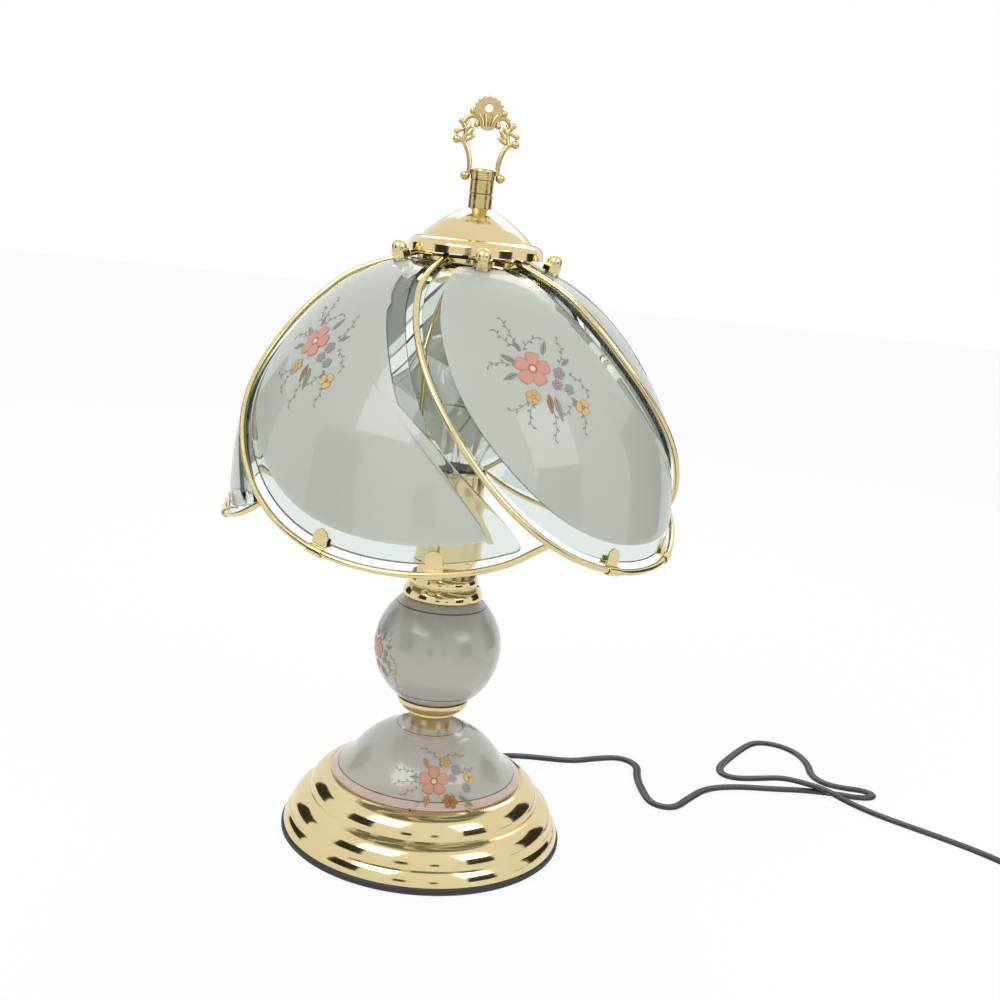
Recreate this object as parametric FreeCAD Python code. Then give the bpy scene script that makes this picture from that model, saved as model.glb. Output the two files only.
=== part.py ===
import FreeCAD, Part
import math
import os

# Tulip shade touch lamp: stepped brass base, ceramic dome and ball on a threaded rod, lamp holder and
# bulb, and a harp that carries five bent glass petals in a pinwheel of brass wire.
# Millimetres. Z is up, the origin is the centre of the foot on the table, the petals' front nut faces -Y.

V = FreeCAD.Vector

# ---------------------------------------------------------------- driving dimensions
# foot and stepped brass base
foot_radius = 75.0
foot_height = 4.0
foot_width = 12.0            # how far the rubber ring reaches inward
rim_inset = 1.0              # brass rim stands this far inside the rubber edge
tier_1_height = 6.6          # lowest tier
tier_2_height = 10.4
tier_3_height = 11.2         # upper tier
tier_1_draw = 2.6            # how far each tier draws in between its foot and its top
tier_2_draw = 8.0
tier_3_draw = 8.8
crease_width = 1.0           # the step between two tiers
crease_height = 0.6
brass_wall = 1.0
felt_thickness = 1.6
felt_gap = 0.2               # the felt stays this far off the table
weight_height = 8.0
weight_step = 5.0            # the weight overlaps the rubber ring by this much

# touch control and wiring inside the base
control_length = 44.0
control_width = 26.0
control_height = 12.0
lead_diameter = 1.8
lead_spacing = 2.6

# rod that clamps the column
rod_diameter = 9.6
rod_bore = 6.4
rod_below_plate = 8.0        # rod end under the top plate of the base
rod_clearance = 0.2
nut_flats = 14.0
nut_height = 4.4
washer_radius = 10.0
washer_thickness = 1.0

# ceramic dome
dome_radius = 50.7
dome_height = 27.8
dome_edge = 1.6              # upright band at its lower edge
dome_top_radius = 12.2
dome_wall = 4.0

# brass cup, ceramic ball and collar
cup_foot_radius = 10.9
cup_height = 15.2            # dome top to cup rim
cup_wall = 1.2
ball_radius = 33.4
ball_wall = 4.0
ball_land_radius = 14.0      # ground flats at both poles
ball_clearance = 0.3
collar_drop = 2.8            # collar skirt reaches this far down the ball
collar_height = 12.1
collar_wall = 1.6
collar_top_radius = 16.6

# harp
saddle_thickness = 1.6
saddle_width = 12.0
saddle_half_span = 26.0
saddle_peg = 10.0            # pegs turned up at the ends of the saddle
sleeve_radius = 3.4
sleeve_height = 12.0
sleeve_travel = 9.0
harp_wire = 3.2
harp_half_width = 46.0
harp_azimuth = 66.0
crown_length = 16.0
crown_width = 12.0
crown_height = 5.0
stud_diameter = 6.2
swivel_clearance = 0.06
swivel_head_radius = 5.0
swivel_head_height = 2.4
swivel_disc_radius = 7.0
swivel_disc_height = 1.6

# lamp holder and bulb
holder_radius = 16.5
holder_height = 54.4
holder_cap_height = 12.0
holder_wall = 0.8
liner_thickness = 0.7
screw_radius = 13.1          # bulb screw shell
screw_clearance = 0.3
bulb_radius = 30.0
bulb_length = 108.0
bulb_wall = 0.8

# glass dome that the petals are cut from: outer face, distance from the axis and height over the shade foot
petal_count = 5
front_nut_azimuth = 5.7
shade_foot = 166.0
glass_thickness = 3.0
glass_profile = ((24.5, 140.3), (44.0, 135.2), (68.5, 119.3), (92.5, 91.0), (107.0, 63.0), (112.0, 33.0),
                 (112.5, 0.0))
# bent wire of one petal: angle from that petal's nut, and height over the shade foot
wire_diameter = 3.0
wire_gap = 0.4               # wire to the outer face of the glass
wire_route = ((-34.0, 141.7), (-30.5, 134.5), (-25.5, 119.8), (-15.8, 92.0), (-4.8, 64.0), (7.5, 38.0),
              (20.0, 20.5), (35.0, 9.5), (51.0, 5.8), (67.0, 7.8), (89.0, 22.8))
wire_points_count = 16
# free edge of one petal, from the cap down to its rounded lower corner
free_edge = ((31.5, 137.8), (40.5, 120.0), (49.5, 97.0), (58.0, 72.0), (68.5, 49.5), (77.0, 34.5), (83.5, 19.5))
glass_inset_top = 1.6        # glass edge from the wire's centre line, along the side
glass_inset_foot = 3.8       # and along the lower edge
corner_radius = 9.0
nut_ring_radius = 38.4
petal_middle_azimuth = front_nut_azimuth + 34.0
petal_middle_slope = 25.0    # the way out through the middle of a petal, over the level
glass_focus = shade_foot + 36.0    # the glass is nearly round about this point of the axis
cutter_reach = 160.0         # how far from the focus the petal's outline is laid out
clip_angles = (36.0, 64.0)

# shade hub, plate and cap
hub_radius = 28.0
hub_thickness = 3.0
hub_boss_radius = 9.0
plate_thickness = 1.5
plate_radius = 47.0
washer_rubber = 1.2
petal_stud_diameter = 4.0
stud_head = 2.0
head_gap = 0.15
acorn_flats = 8.0
acorn_hex_height = 3.6
acorn_height = 8.6
cap_radius = 33.6
cap_height = 22.4
cap_flange = 3.6
cap_wall = 0.9
cap_neck_radius = 7.1

# finial
post_radius = 5.9
coupler_height = 7.3
post_height = 12.3
finial_thickness = 3.2
finial_wire = 2.5
loop_height = 33.9
bead_count = 11
scroll_balls = ((8.9, -4.2, 2.4), (6.6, -0.9, 1.2), (14.6, 13.0, 2.1), (15.0, 16.9, 1.5), (13.2, 21.9, 1.4),
                (5.3, 20.9, 1.5), (7.8, 27.3, 1.7))    # distance from the middle, height over the post, radius
leaf_root = 10.3             # the leaf's lobes fan out from the arm, at this distance from the middle
leaf_rib = 1.35
leaf_tip = 0.5
leaf_lobes = ((12.8, 6.2, 15.6), (14.0, 6.8, 19.2), (15.6, 8.8, 21.6))    # root height, then tip across and up

# clips that hold the lower edge of the glass to the wire
clip_width = 7.6
clip_sheet = 0.7
clip_tab = 9.4
clip_play = 0.9              # glass edge to the clip's fold

# cord, plug and bushing
cord_diameter = 4.0             # round lead of the same section as the flat twin lead in use
bushing_radius = 3.6
bushing_flange = 4.6
bushing_azimuth = 70.0
bushing_height = 15.5
coil_turn_diameter = 56.0
coil_turns = 3               # turns in each of two layers
coil_pitch = 5.2
coil_layer = 4.5
coil_tail = 26.0             # straight end that carries the plug clear of the turns
coil_centre = (386.0, -34.0)
plug_length = 24.0
plug_width = 19.0
plug_neck = 6.0
blade_length = 17.5
blade_width = 6.3
blade_thickness = 1.5
blade_spacing = 12.7

# ---------------------------------------------------------------- heights that follow
foot_top = foot_height
base_top = foot_top + tier_1_height + tier_2_height + tier_3_height + 2 * crease_height
dome_top = base_top + dome_height
cup_rim = dome_top + cup_height
land_depth = math.sqrt(ball_radius ** 2 - ball_land_radius ** 2)
cup_floor = cup_rim - 1.9
ball_centre = cup_floor + land_depth
ball_top = ball_centre + land_depth
collar_foot = ball_top - collar_drop
collar_top = collar_foot + collar_height
holder_foot = collar_top + saddle_thickness
holder_rim = holder_foot + holder_height
rod_foot = base_top - brass_wall - rod_below_plate
rod_top = holder_foot + 5.0
bulb_foot = holder_foot + 16.0
wire_radius = wire_diameter / 2
wire_rise = wire_gap + wire_radius

parts = {}


# ---------------------------------------------------------------- small helpers
def revolve(points):
    """Turn a closed outline round the Z axis. A point of the outline is (radius, height), and a pair of
    them in one entry is an arc: the point on the way, then its end."""
    edges = []
    here = V(points[0][0], 0, points[0][1])
    first = here
    for entry in list(points[1:]) + [points[0]]:
        if isinstance(entry[0], tuple):
            middle = V(entry[0][0], 0, entry[0][1])
            there = V(entry[1][0], 0, entry[1][1])
            edges.append(Part.Arc(here, middle, there).toShape())
        else:
            there = V(entry[0], 0, entry[1])
            if there.distanceToPoint(here) > 1e-6:
                edges.append(Part.LineSegment(here, there).toShape())
        here = there
    face = Part.Face(Part.Wire(edges))
    return face.revolve(V(0, 0, 0), V(0, 0, 1), 360)


def tube(outer, inner, low, high):
    ring = Part.makeCylinder(outer, high - low, V(0, 0, low))
    return ring.cut(Part.makeCylinder(inner, high - low + 2, V(0, 0, low - 1)))


def hexagon(flats, height, foot=V(0, 0, 0)):
    corner = flats / math.sqrt(3)
    ring = [foot + V(corner * math.cos(math.radians(60 * k)), corner * math.sin(math.radians(60 * k)), 0)
            for k in range(7)]
    return Part.Face(Part.makePolygon(ring)).extrude(V(0, 0, height))


def around(radius, azimuth, height):
    """A point at an angle from the front, -Y, counted towards +X."""
    turn = math.radians(azimuth)
    return V(radius * math.sin(turn), -radius * math.cos(turn), height)


def turned(shape, azimuth):
    copy = shape.copy()
    copy.rotate(V(0, 0, 0), V(0, 0, 1), azimuth)
    return copy


def arc_with_control(start, control, end):
    """Arc from start to end whose tangents meet in control, at equal distance from both."""
    middle = (start + end) * 0.5
    lift = control - middle
    if lift.Length < 1e-4:
        return Part.LineSegment(start, end).toShape()
    half = start.distanceToPoint(end) / 2
    quarter_turn = math.atan2(lift.Length, half) / 2
    return Part.Arc(start, middle + lift * (half * math.tan(quarter_turn) / lift.Length), end).toShape()


def biarc_wire(points, first=None, last=None, headings=None):
    """Smooth wire through points: two arcs between each pair, tangent to its neighbours."""
    tangents = []
    for k, point in enumerate(points):
        before = points[max(k - 1, 0)]
        after = points[min(k + 1, len(points) - 1)]
        tangents.append((after - before).normalize())
    if headings is not None:
        tangents = headings
    if first is not None:
        tangents[0] = first
    if last is not None:
        tangents[-1] = last
    edges = []
    for p, q, s, t in zip(points, points[1:], tangents, tangents[1:]):
        chord = q - p
        both = s + t
        spread = 2 * (1 - s.dot(t))
        along = chord.dot(both)
        if spread < 1e-9:
            reach = chord.dot(chord) / (2 * along)
        else:
            reach = (math.sqrt(along ** 2 + spread * chord.dot(chord)) - along) / spread
        a = p + s * reach
        b = q - t * reach
        join = (a + b) * 0.5
        edges.append(arc_with_control(p, a, join))
        edges.append(arc_with_control(join, b, q))
    return Part.Wire(edges)


def swept(wire, radius):
    """Round bar along a smooth wire."""
    edge = wire.OrderedEdges[0]
    start = edge.valueAt(edge.FirstParameter)
    section = Part.Wire(Part.makeCircle(radius, start, edge.tangentAt(edge.FirstParameter)))
    shell = Part.BRepOffsetAPI.MakePipeShell(wire)
    shell.add(section)
    shell.build()
    shell.makeSolid()
    return shell.shape()


# ---------------------------------------------------------------- base
def tiers():
    """Each tier: foot radius, foot height, draw and height."""
    radius = foot_radius - rim_inset
    height = foot_top
    rows = []
    for draw, rise in ((tier_1_draw, tier_1_height), (tier_2_draw, tier_2_height), (tier_3_draw, tier_3_height)):
        rows.append((radius, height, draw, rise))
        radius -= draw + crease_width
        height += rise + crease_height
    return rows


def tier_arc(radius, height, draw, rise, inset):
    """Arc of a tier, upright at its foot; inset moves it to the inner face of the sheet."""
    swing = (draw ** 2 + rise ** 2) / (2 * draw)
    centre = radius - swing
    turn = math.asin(min(rise / swing, 1.0))
    size = swing - inset
    return [(centre + size * math.cos(a), height + size * math.sin(a)) for a in (0, turn / 2, turn)]


def base_outline(inset):
    """Outline of the stepped sheet from its foot to its top plate."""
    path = []
    for radius, height, draw, rise in tiers():
        foot, middle, top = tier_arc(radius, height, draw, rise, inset)
        path.append(foot)
        path.append((middle, top))
    return path


def make_foot_ring():
    inner = foot_radius - foot_width
    return revolve([(inner, 0.6), (inner + 0.6, 0), (foot_radius - 1.2, 0), (foot_radius, 1.2),
                    (foot_radius, foot_top - 0.8), (foot_radius - 0.8, foot_top), (inner, foot_top)])


def make_base_shell():
    outer = base_outline(0)
    inner = base_outline(brass_wall)
    hole = rod_diameter / 2 + rod_clearance
    lip = tiers()[-1]
    top_radius = lip[0] - lip[2] - 1.0
    points = outer + [(top_radius, base_top - 0.0), (hole, base_top), (hole, base_top - brass_wall),
                      (inner[-1][1][0] - 0.2, base_top - brass_wall)]
    backwards = []
    for k in range(len(inner) - 1, 0, -2):
        middle, top = inner[k]
        backwards.append(top)
        backwards.append((middle, inner[k - 1]))
    shell = revolve(points + backwards)
    return shell.cut(bushing_bore(bushing_radius + 0.05))


def bushing_bore(radius):
    heading = around(1, 90 + bushing_azimuth, 0)
    return Part.makeCylinder(radius, foot_radius, V(0, 0, bushing_height), heading)


def base_face_at(height):
    """Radius of the outer face of the base at a height."""
    for radius, low, draw, rise in tiers():
        if low <= height <= low + rise:
            swing = (draw ** 2 + rise ** 2) / (2 * draw)
            return radius - swing + math.sqrt(swing ** 2 - (height - low) ** 2)
    return foot_radius


def make_felt_pad():
    return Part.makeCylinder(foot_radius - foot_width - 0.4, felt_thickness, V(0, 0, felt_gap))


def make_base_weight():
    low = felt_gap + felt_thickness
    inside = foot_radius - foot_width - 0.3
    top = foot_top + weight_height - (foot_top - low)
    return revolve([(0, low), (inside, low), (inside, foot_top), (inside + weight_step, foot_top),
                    (inside + weight_step, top - 1), (inside + weight_step - 1, top), (0, top)])


def weight_top():
    return felt_gap + felt_thickness + weight_height


def make_control_box():
    low = weight_top()
    box = Part.makeBox(control_length, control_width, control_height,
                       V(-control_length / 2, -control_width / 2, low))
    return box.makeFillet(2.0, [e for e in box.Edges if abs(e.Vertexes[0].Z - e.Vertexes[-1].Z) > 1])


def make_inner_cord():
    """Lead from the bushing to the control box."""
    turn = math.radians(bushing_azimuth)
    start = (control_width / 2) / math.sin(turn)
    end = bushing_inner_end()
    heading = around(1, 90 + bushing_azimuth, 0)
    bar = Part.makeCylinder(cord_diameter / 2, end - start + 6, heading * (start - 6) + V(0, 0, bushing_height), heading)
    return bar.cut(make_control_box())


def bushing_inner_end():
    return base_face_at(bushing_height) - brass_wall - 5.0


def make_bushing():
    face = base_face_at(bushing_height - bushing_flange)
    heading = around(1, 90 + bushing_azimuth, 0)
    inner = bushing_inner_end()
    foot = heading * inner + V(0, 0, bushing_height)
    body = Part.makeCylinder(bushing_radius, face - inner + 0.2, foot, heading)
    low = heading * (face + 0.1) + V(0, 0, bushing_height)
    flange = Part.makeCylinder(bushing_flange, 1.6, low, heading)
    nose = Part.makeCone(bushing_flange - 0.8, cord_diameter / 2 + 1.0, 3.4, low + heading * 1.6, heading)
    return body.fuse([flange, nose])


def cord_start():
    face = base_face_at(bushing_height - bushing_flange)
    heading = around(1, 90 + bushing_azimuth, 0)
    return heading * (face + 5.1) + V(0, 0, bushing_height)


def make_socket_leads():
    low = weight_top() + control_height
    high = holder_foot + 8.0
    return Part.makeCompound([Part.makeCylinder(lead_diameter / 2, high - low, V(side * lead_spacing / 2, 0, low))
                              for side in (-1, 1)])


# ---------------------------------------------------------------- column
def make_threaded_rod():
    return tube(rod_diameter / 2, rod_bore / 2, rod_foot, rod_top)


def make_rod_nut():
    top = base_top - brass_wall - washer_thickness
    nut = hexagon(nut_flats, nut_height, V(0, 0, top - nut_height))
    return nut.cut(Part.makeCylinder(rod_diameter / 2 + 0.05, nut_height + 2, V(0, 0, top - nut_height - 1)))


def make_rod_washer():
    top = base_top - brass_wall
    return tube(washer_radius, rod_diameter / 2 + rod_clearance, top - washer_thickness, top)


def make_base_dome():
    """Bell shaped ceramic dome: convex shoulder, flared skirt."""
    low = base_top
    hole = rod_diameter / 2 + 0.5
    waist = (0.79 * dome_radius, low + 0.36 * dome_height)
    shoulder = (0.44 * dome_radius, low + 0.90 * dome_height)
    outer = [(dome_radius - dome_wall, low), (dome_radius - 0.4, low), (dome_radius, low + 0.4),
             (dome_radius, low + dome_edge),
             ((0.888 * dome_radius, low + 0.187 * dome_height), waist),
             ((0.640 * dome_radius, low + 0.680 * dome_height), shoulder),
             ((0.345 * dome_radius, low + 0.974 * dome_height), (dome_top_radius, dome_top))]
    inner = [(hole, dome_top), (hole, dome_top - dome_wall),
             (shoulder[0] - 0.45 * dome_wall, shoulder[1] - dome_wall),
             (waist[0] - 0.75 * dome_wall, waist[1] - 0.75 * dome_wall)]
    return revolve(outer + inner)


def ball_at(height):
    return math.sqrt(ball_radius ** 2 - (height - ball_centre) ** 2)


def make_lower_cup():
    rim_inner = ball_at(cup_rim) + ball_clearance
    rim = rim_inner + cup_wall
    waist = cup_foot_radius + 2.0
    rib = dome_top + 0.47 * cup_height
    hole = rod_diameter / 2 + rod_clearance
    return revolve([(hole, dome_top), (cup_foot_radius, dome_top),
                    ((cup_foot_radius + 0.5, dome_top + 0.25 * cup_height), (waist, rib)),
                    (waist + 0.5, rib + 0.3), (waist + 0.5, rib + 1.1), (waist, rib + 1.4),
                    (waist + 0.6, rib + 1.8),
                    ((rim - 1.5, cup_rim - 4.2), (rim, cup_rim)),
                    (rim_inner, cup_rim), (ball_land_radius + 0.3, cup_floor), (hole, cup_floor)])


def make_ceramic_ball():
    ball = Part.makeSphere(ball_radius, V(0, 0, ball_centre))
    hollow = Part.makeSphere(ball_radius - ball_wall, V(0, 0, ball_centre))
    tall = 4 * ball_radius
    slab = Part.makeCylinder(2 * ball_radius, ball_top - cup_floor, V(0, 0, cup_floor))
    bore = Part.makeCylinder(rod_diameter / 2 + 0.5, tall, V(0, 0, ball_centre - tall / 2))
    return ball.common(slab).cut(hollow).cut(bore)


def make_upper_collar():
    skirt_inner = ball_at(collar_foot) + ball_clearance
    skirt = skirt_inner + collar_wall
    groove = collar_foot + 0.52 * collar_height
    hole = rod_diameter / 2 + rod_clearance
    neck = collar_top_radius + 1.0
    return revolve([(hole, ball_top), (ball_land_radius + 0.3, ball_top), (skirt_inner, collar_foot),
                    (skirt - 0.4, collar_foot), (skirt, collar_foot + 0.5),
                    ((skirt - 0.5, collar_foot + 0.3 * collar_height), (neck + 0.6, groove)),
                    (neck - 0.3, groove + 0.4), (neck - 0.3, groove + 0.9), (neck + 0.3, groove + 1.3),
                    ((neck + 0.4, groove + 3.2), (collar_top_radius, collar_top)), (hole, collar_top)])


# ---------------------------------------------------------------- harp
def harp_heading():
    turn = math.radians(harp_azimuth)
    return V(math.cos(turn), math.sin(turn), 0)


def harp_point(offset, height):
    return harp_heading() * offset + V(0, 0, height)


def make_harp_saddle():
    """Strap under the lamp holder, its ends turned up into two pegs for the harp."""
    low = collar_top
    disc = Part.makeCylinder(12.0, saddle_thickness, V(0, 0, low))
    strap = Part.makeBox(2 * saddle_half_span, saddle_width / 2, saddle_thickness,
                         V(-saddle_half_span, -saddle_width / 4, low))
    pegs = [Part.makeCylinder(harp_wire / 2, saddle_peg, V(side * saddle_half_span, 0, low)) for side in (-1, 1)]
    ends = [Part.makeCylinder(saddle_width / 4, saddle_thickness, V(side * saddle_half_span, 0, low))
            for side in (-1, 1)]
    whole = disc.fuse([strap] + pegs + ends).removeSplitter()
    whole = whole.cut(Part.makeCylinder(rod_diameter / 2 + rod_clearance, 20, V(0, 0, low - 5)))
    return turned(whole, harp_azimuth)


def saddle_peg_top():
    return collar_top + saddle_peg


def crown_top():
    return plate_flat() - plate_thickness - swivel_disc_height


def make_harp_crown():
    """Small block on top of the harp, bored for the swivel stud."""
    low = crown_top() - crown_height
    block = Part.makeBox(crown_length, crown_width, crown_height, V(-crown_length / 2, -crown_width / 2, low))
    upright = [e for e in block.Edges if abs(e.Vertexes[0].Z - e.Vertexes[-1].Z) > 1]
    bore = Part.makeCylinder(stud_diameter / 2 + swivel_clearance, 2 * crown_height, V(0, 0, low - 1))
    return turned(block.makeFillet(3.0, upright).cut(bore), harp_azimuth)


def make_harp():
    """Two bent wire legs, from the saddle pegs round the bulb and into the crown block."""
    low = saddle_peg_top()
    crown = crown_top() - crown_height / 2
    foot = harp_point(saddle_half_span, low)
    bend = harp_point(saddle_half_span, low + sleeve_height + sleeve_travel - saddle_peg + 2.0)
    rise = crown - bend.z
    points = [bend, harp_point(0.94 * harp_half_width, bend.z + 0.27 * rise),
              harp_point(harp_half_width, bend.z + 0.48 * rise), harp_point(0.90 * harp_half_width, bend.z + 0.74 * rise),
              harp_point(0.50 * harp_half_width, bend.z + 0.95 * rise), harp_point(crown_length / 2 - 1.0, crown)]
    bends = biarc_wire(points, V(0, 0, 1), harp_heading() * -1)
    leg = swept(Part.Wire([Part.LineSegment(foot, bend).toShape()] + bends.OrderedEdges), harp_wire / 2)
    leg = leg.cut(make_harp_crown())
    return Part.makeCompound([leg, turned(leg, 180)])


def make_harp_sleeve(side):
    """Ferrule that slides down over a peg and the end of the harp."""
    low = collar_top + saddle_thickness
    ring = tube(sleeve_radius, harp_wire / 2 + 0.1, low, low + sleeve_height)
    ring.translate(harp_heading() * (side * saddle_half_span))
    return ring


def make_harp_stud():
    """Stud that swivels in the crown block: head below, disc above, threaded stem for shade and finial."""
    top = crown_top()
    low = top - crown_height
    radius = stud_diameter / 2
    return revolve([(0, low - swivel_head_height), (swivel_head_radius, low - swivel_head_height),
                    (swivel_head_radius, low), (radius, low), (radius, top), (swivel_disc_radius, top),
                    (swivel_disc_radius, top + swivel_disc_height), (radius, top + swivel_disc_height),
                    (radius, stud_top()), (0, stud_top())])


def stud_top():
    return cap_foot() + cap_height + coupler_height + 5.0


# ---------------------------------------------------------------- lamp holder and bulb
def make_holder_cap():
    low = holder_foot
    top = low + holder_cap_height
    hole = rod_diameter / 2 + 0.05
    outer = holder_radius + 0.5
    return revolve([(hole, low), (9.0, low), ((15.2, low + 3.0), (outer, low + 9.0)), (outer, top),
                    (outer - holder_wall, top), (outer - holder_wall, low + 9.0),
                    ((14.0, low + 3.8), (8.6, low + 1.0)), (7.0, low + 1.0), (7.0, low + 6.0), (hole, low + 6.0)])


def make_holder_shell():
    """Brass shell: plugged into the cap, beaded rim at the mouth."""
    low = holder_foot + holder_cap_height - 2.8
    rim = holder_rim
    inner = holder_radius - holder_wall
    outside = holder_radius + 0.5 - holder_wall - 0.05
    step = holder_foot + holder_cap_height + 0.2
    return revolve([(inner - 0.85, low), (outside, low), (outside, step - 0.1), (holder_radius, step + 0.4),
                    (holder_radius, rim - 2.2), (holder_radius + 0.5, rim - 1.6), (holder_radius + 0.5, rim - 0.6),
                    (holder_radius, rim), (inner, rim), (inner, step + 0.6), (inner - 0.85, step + 0.2)])


def make_holder_liner():
    outer = holder_radius - holder_wall - 0.1
    low = holder_foot + holder_cap_height + 1.2
    return tube(outer, outer - liner_thickness, low, holder_rim - 3.0)


def make_holder_body():
    """Moulded insulator with the two terminals' pockets."""
    low = holder_foot + 6.4
    inner_wall = holder_radius - 2 * holder_wall - 0.6
    top = bulb_foot - 1.2
    body = Part.makeCylinder(inner_wall - 1.6, top - low, V(0, 0, low))
    for side in (-1, 1):
        body = body.cut(Part.makeBox(5, 8, 5, V(side * (inner_wall - 3.0) - 2.5, -4, low + 1)))
    return body.cut(Part.makeCylinder(lead_spacing / 2 + lead_diameter / 2 + 0.3, 2.0, V(0, 0, low)))


def make_screw_shell():
    """Threaded contact sleeve that the bulb screws into."""
    inner = screw_radius + screw_clearance
    low = bulb_foot - 1.2
    return tube(inner + 0.6, inner, low, low + 27.0)


def make_bulb_glass():
    """Clear pear shaped envelope with a hollow inside."""
    neck = bulb_foot + 23.0
    top = bulb_foot + bulb_length
    centre = top - bulb_radius
    join_angle = math.radians(-38)
    join = (bulb_radius * math.cos(join_angle), centre + bulb_radius * math.sin(join_angle))
    side = (bulb_radius * math.cos(math.radians(25)), centre + bulb_radius * math.sin(math.radians(25)))
    r = bulb_radius - bulb_wall
    join_in = (r * math.cos(join_angle), centre + r * math.sin(join_angle))
    side_in = (r * math.cos(math.radians(25)), centre + r * math.sin(math.radians(25)))
    neck_radius = screw_radius - 0.3
    return revolve([(neck_radius - bulb_wall, neck), (neck_radius, neck), (neck_radius, neck + 2.4),
                    (neck_radius + 0.6, neck + 7.0),
                    ((17.2, neck + 0.62 * (join[1] - neck)), join), (side, (0, top)), (0, top - bulb_wall),
                    (side_in, join_in), ((17.2 - bulb_wall, neck + 0.62 * (join[1] - neck) + 0.3),
                                         (neck_radius + 0.6 - bulb_wall, neck + 6.0))])


def make_bulb_base():
    """Metal screw base with its insulated tip."""
    low = bulb_foot
    return revolve([(0, low), (4.5, low), (5.5, low + 1.2), (9.5, low + 3.2), (screw_radius, low + 6.0),
                    (screw_radius, low + 25.0), (screw_radius - 0.25, low + 25.0),
                    (screw_radius - 0.25, low + 22.9), (0, low + 22.9)])


def make_bulb_stem():
    """Glass mount that carries the filament leads."""
    low = bulb_foot + 22.9
    return revolve([(0, low), (6.5, low), (4.0, low + 7.0), (2.6, low + 16.0), (2.2, low + 30.0), (0, low + 30.0)])


def make_bulb_filament():
    """Two lead wires with the coiled filament bent over between them."""
    low = bulb_foot + 22.9 + 30.0
    points = [V(-1.6, 0, low), V(-3.5, 0, low + 5), V(-10, 0, low + 18), V(-5, 2.5, low + 20),
              V(5, 2.5, low + 20), V(10, 0, low + 18), V(3.5, 0, low + 5), V(1.6, 0, low)]
    return swept(biarc_wire(points, V(0, 0, 1), V(0, 0, -1)), 0.45)


# ---------------------------------------------------------------- glass dome and its petals
def glass_curve(offset=0.0):
    """Half section of the dome's outer face, moved outward by offset."""
    points = [V(r, 0, shade_foot + z) for r, z in glass_profile]
    curve = Part.BSplineCurve()
    curve.interpolate(points)
    if offset == 0:
        return curve
    count = 2 * len(points) + 1
    moved = []
    for k in range(count):
        u = curve.FirstParameter + (curve.LastParameter - curve.FirstParameter) * k / (count - 1)
        heading = curve.tangent(u)[0]
        moved.append(curve.value(u) + V(-heading.z, 0, heading.x) * offset)
    result = Part.BSplineCurve()
    result.interpolate(moved)
    return result


def section_samples(offset, count=240):
    curve = glass_curve(offset)
    span = curve.LastParameter - curve.FirstParameter
    return [curve.value(curve.FirstParameter + span * k / count) for k in range(count + 1)]


sections = {}


def dome_radius_at(height, offset):
    """Distance from the axis of the dome's section, moved outward by offset, at a height."""
    if offset not in sections:
        sections[offset] = section_samples(offset)
    rows = sections[offset]
    for upper, lower in zip(rows, rows[1:]):
        if lower.z <= height <= upper.z:
            share = (upper.z - height) / (upper.z - lower.z)
            return upper.x + share * (lower.x - upper.x)
    return rows[0].x if height > rows[0].z else rows[-1].x


def dome_height_at(radius, offset):
    """Height of the dome's upper part at a distance from the axis."""
    if offset not in sections:
        sections[offset] = section_samples(offset)
    rows = sections[offset]
    for upper, lower in zip(rows, rows[1:]):
        if upper.x <= radius <= lower.x:
            share = (radius - upper.x) / (lower.x - upper.x)
            return upper.z + share * (lower.z - upper.z)
    return rows[0].z


def dome_slope_at(radius):
    """Fall of the dome's upper part, in degrees."""
    high = dome_height_at(radius - 0.5, 0.0)
    low = dome_height_at(radius + 0.5, 0.0)
    return math.degrees(math.atan(high - low))


def plate_flat():
    """Top of the plate's flat middle: the glass starts just outside the hub."""
    return dome_height_at(hub_radius + 2.0, -glass_thickness) - washer_rubber - 0.3


def on_dome(azimuth, rise, offset):
    height = shade_foot + rise
    return around(dome_radius_at(height, offset), azimuth, height)


def route_spline(route):
    """Smooth curve through points of (angle, height over the shade foot)."""
    return spline([V(angle, rise, 0) for angle, rise in route])


def route_on_dome(route, offset, count):
    """Points spaced along a route, placed on the dome moved outward by offset."""
    curve = route_spline(route)
    stretch = curve.LastParameter - curve.FirstParameter
    marks = [curve.value(curve.FirstParameter + stretch * k / (count - 1.0)) for k in range(count)]
    return [on_dome(front_nut_azimuth + m.x, m.y, offset) for m in marks]


def wire_points():
    return route_on_dome(wire_route, wire_rise, wire_points_count)


def make_petal_wire():
    """First petal's wire: down one side of the glass and along its foot to the next petal's wire."""
    return swept(biarc_wire(wire_points()), wire_radius)


def cutter_axis():
    rise = math.radians(petal_middle_slope)
    return around(math.cos(rise), petal_middle_azimuth, math.sin(rise))


def flattened(point):
    """The point as seen from the focus, on a plane in front of the glass."""
    focus = V(0, 0, glass_focus)
    ray = point - focus
    return focus + ray * (cutter_reach / ray.dot(cutter_axis()))


def moved_inward(points, insets):
    """Shift each point along the glass, to the left of the direction of travel."""
    result = []
    for k, point in enumerate(points):
        before = points[max(k - 1, 0)]
        after = points[min(k + 1, len(points) - 1)]
        outward = point - V(0, 0, glass_focus)
        result.append(point + outward.cross(after - before).normalize() * insets[k])
    return result


def spline(points):
    curve = Part.BSplineCurve()
    curve.interpolate(points)
    return curve


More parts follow.
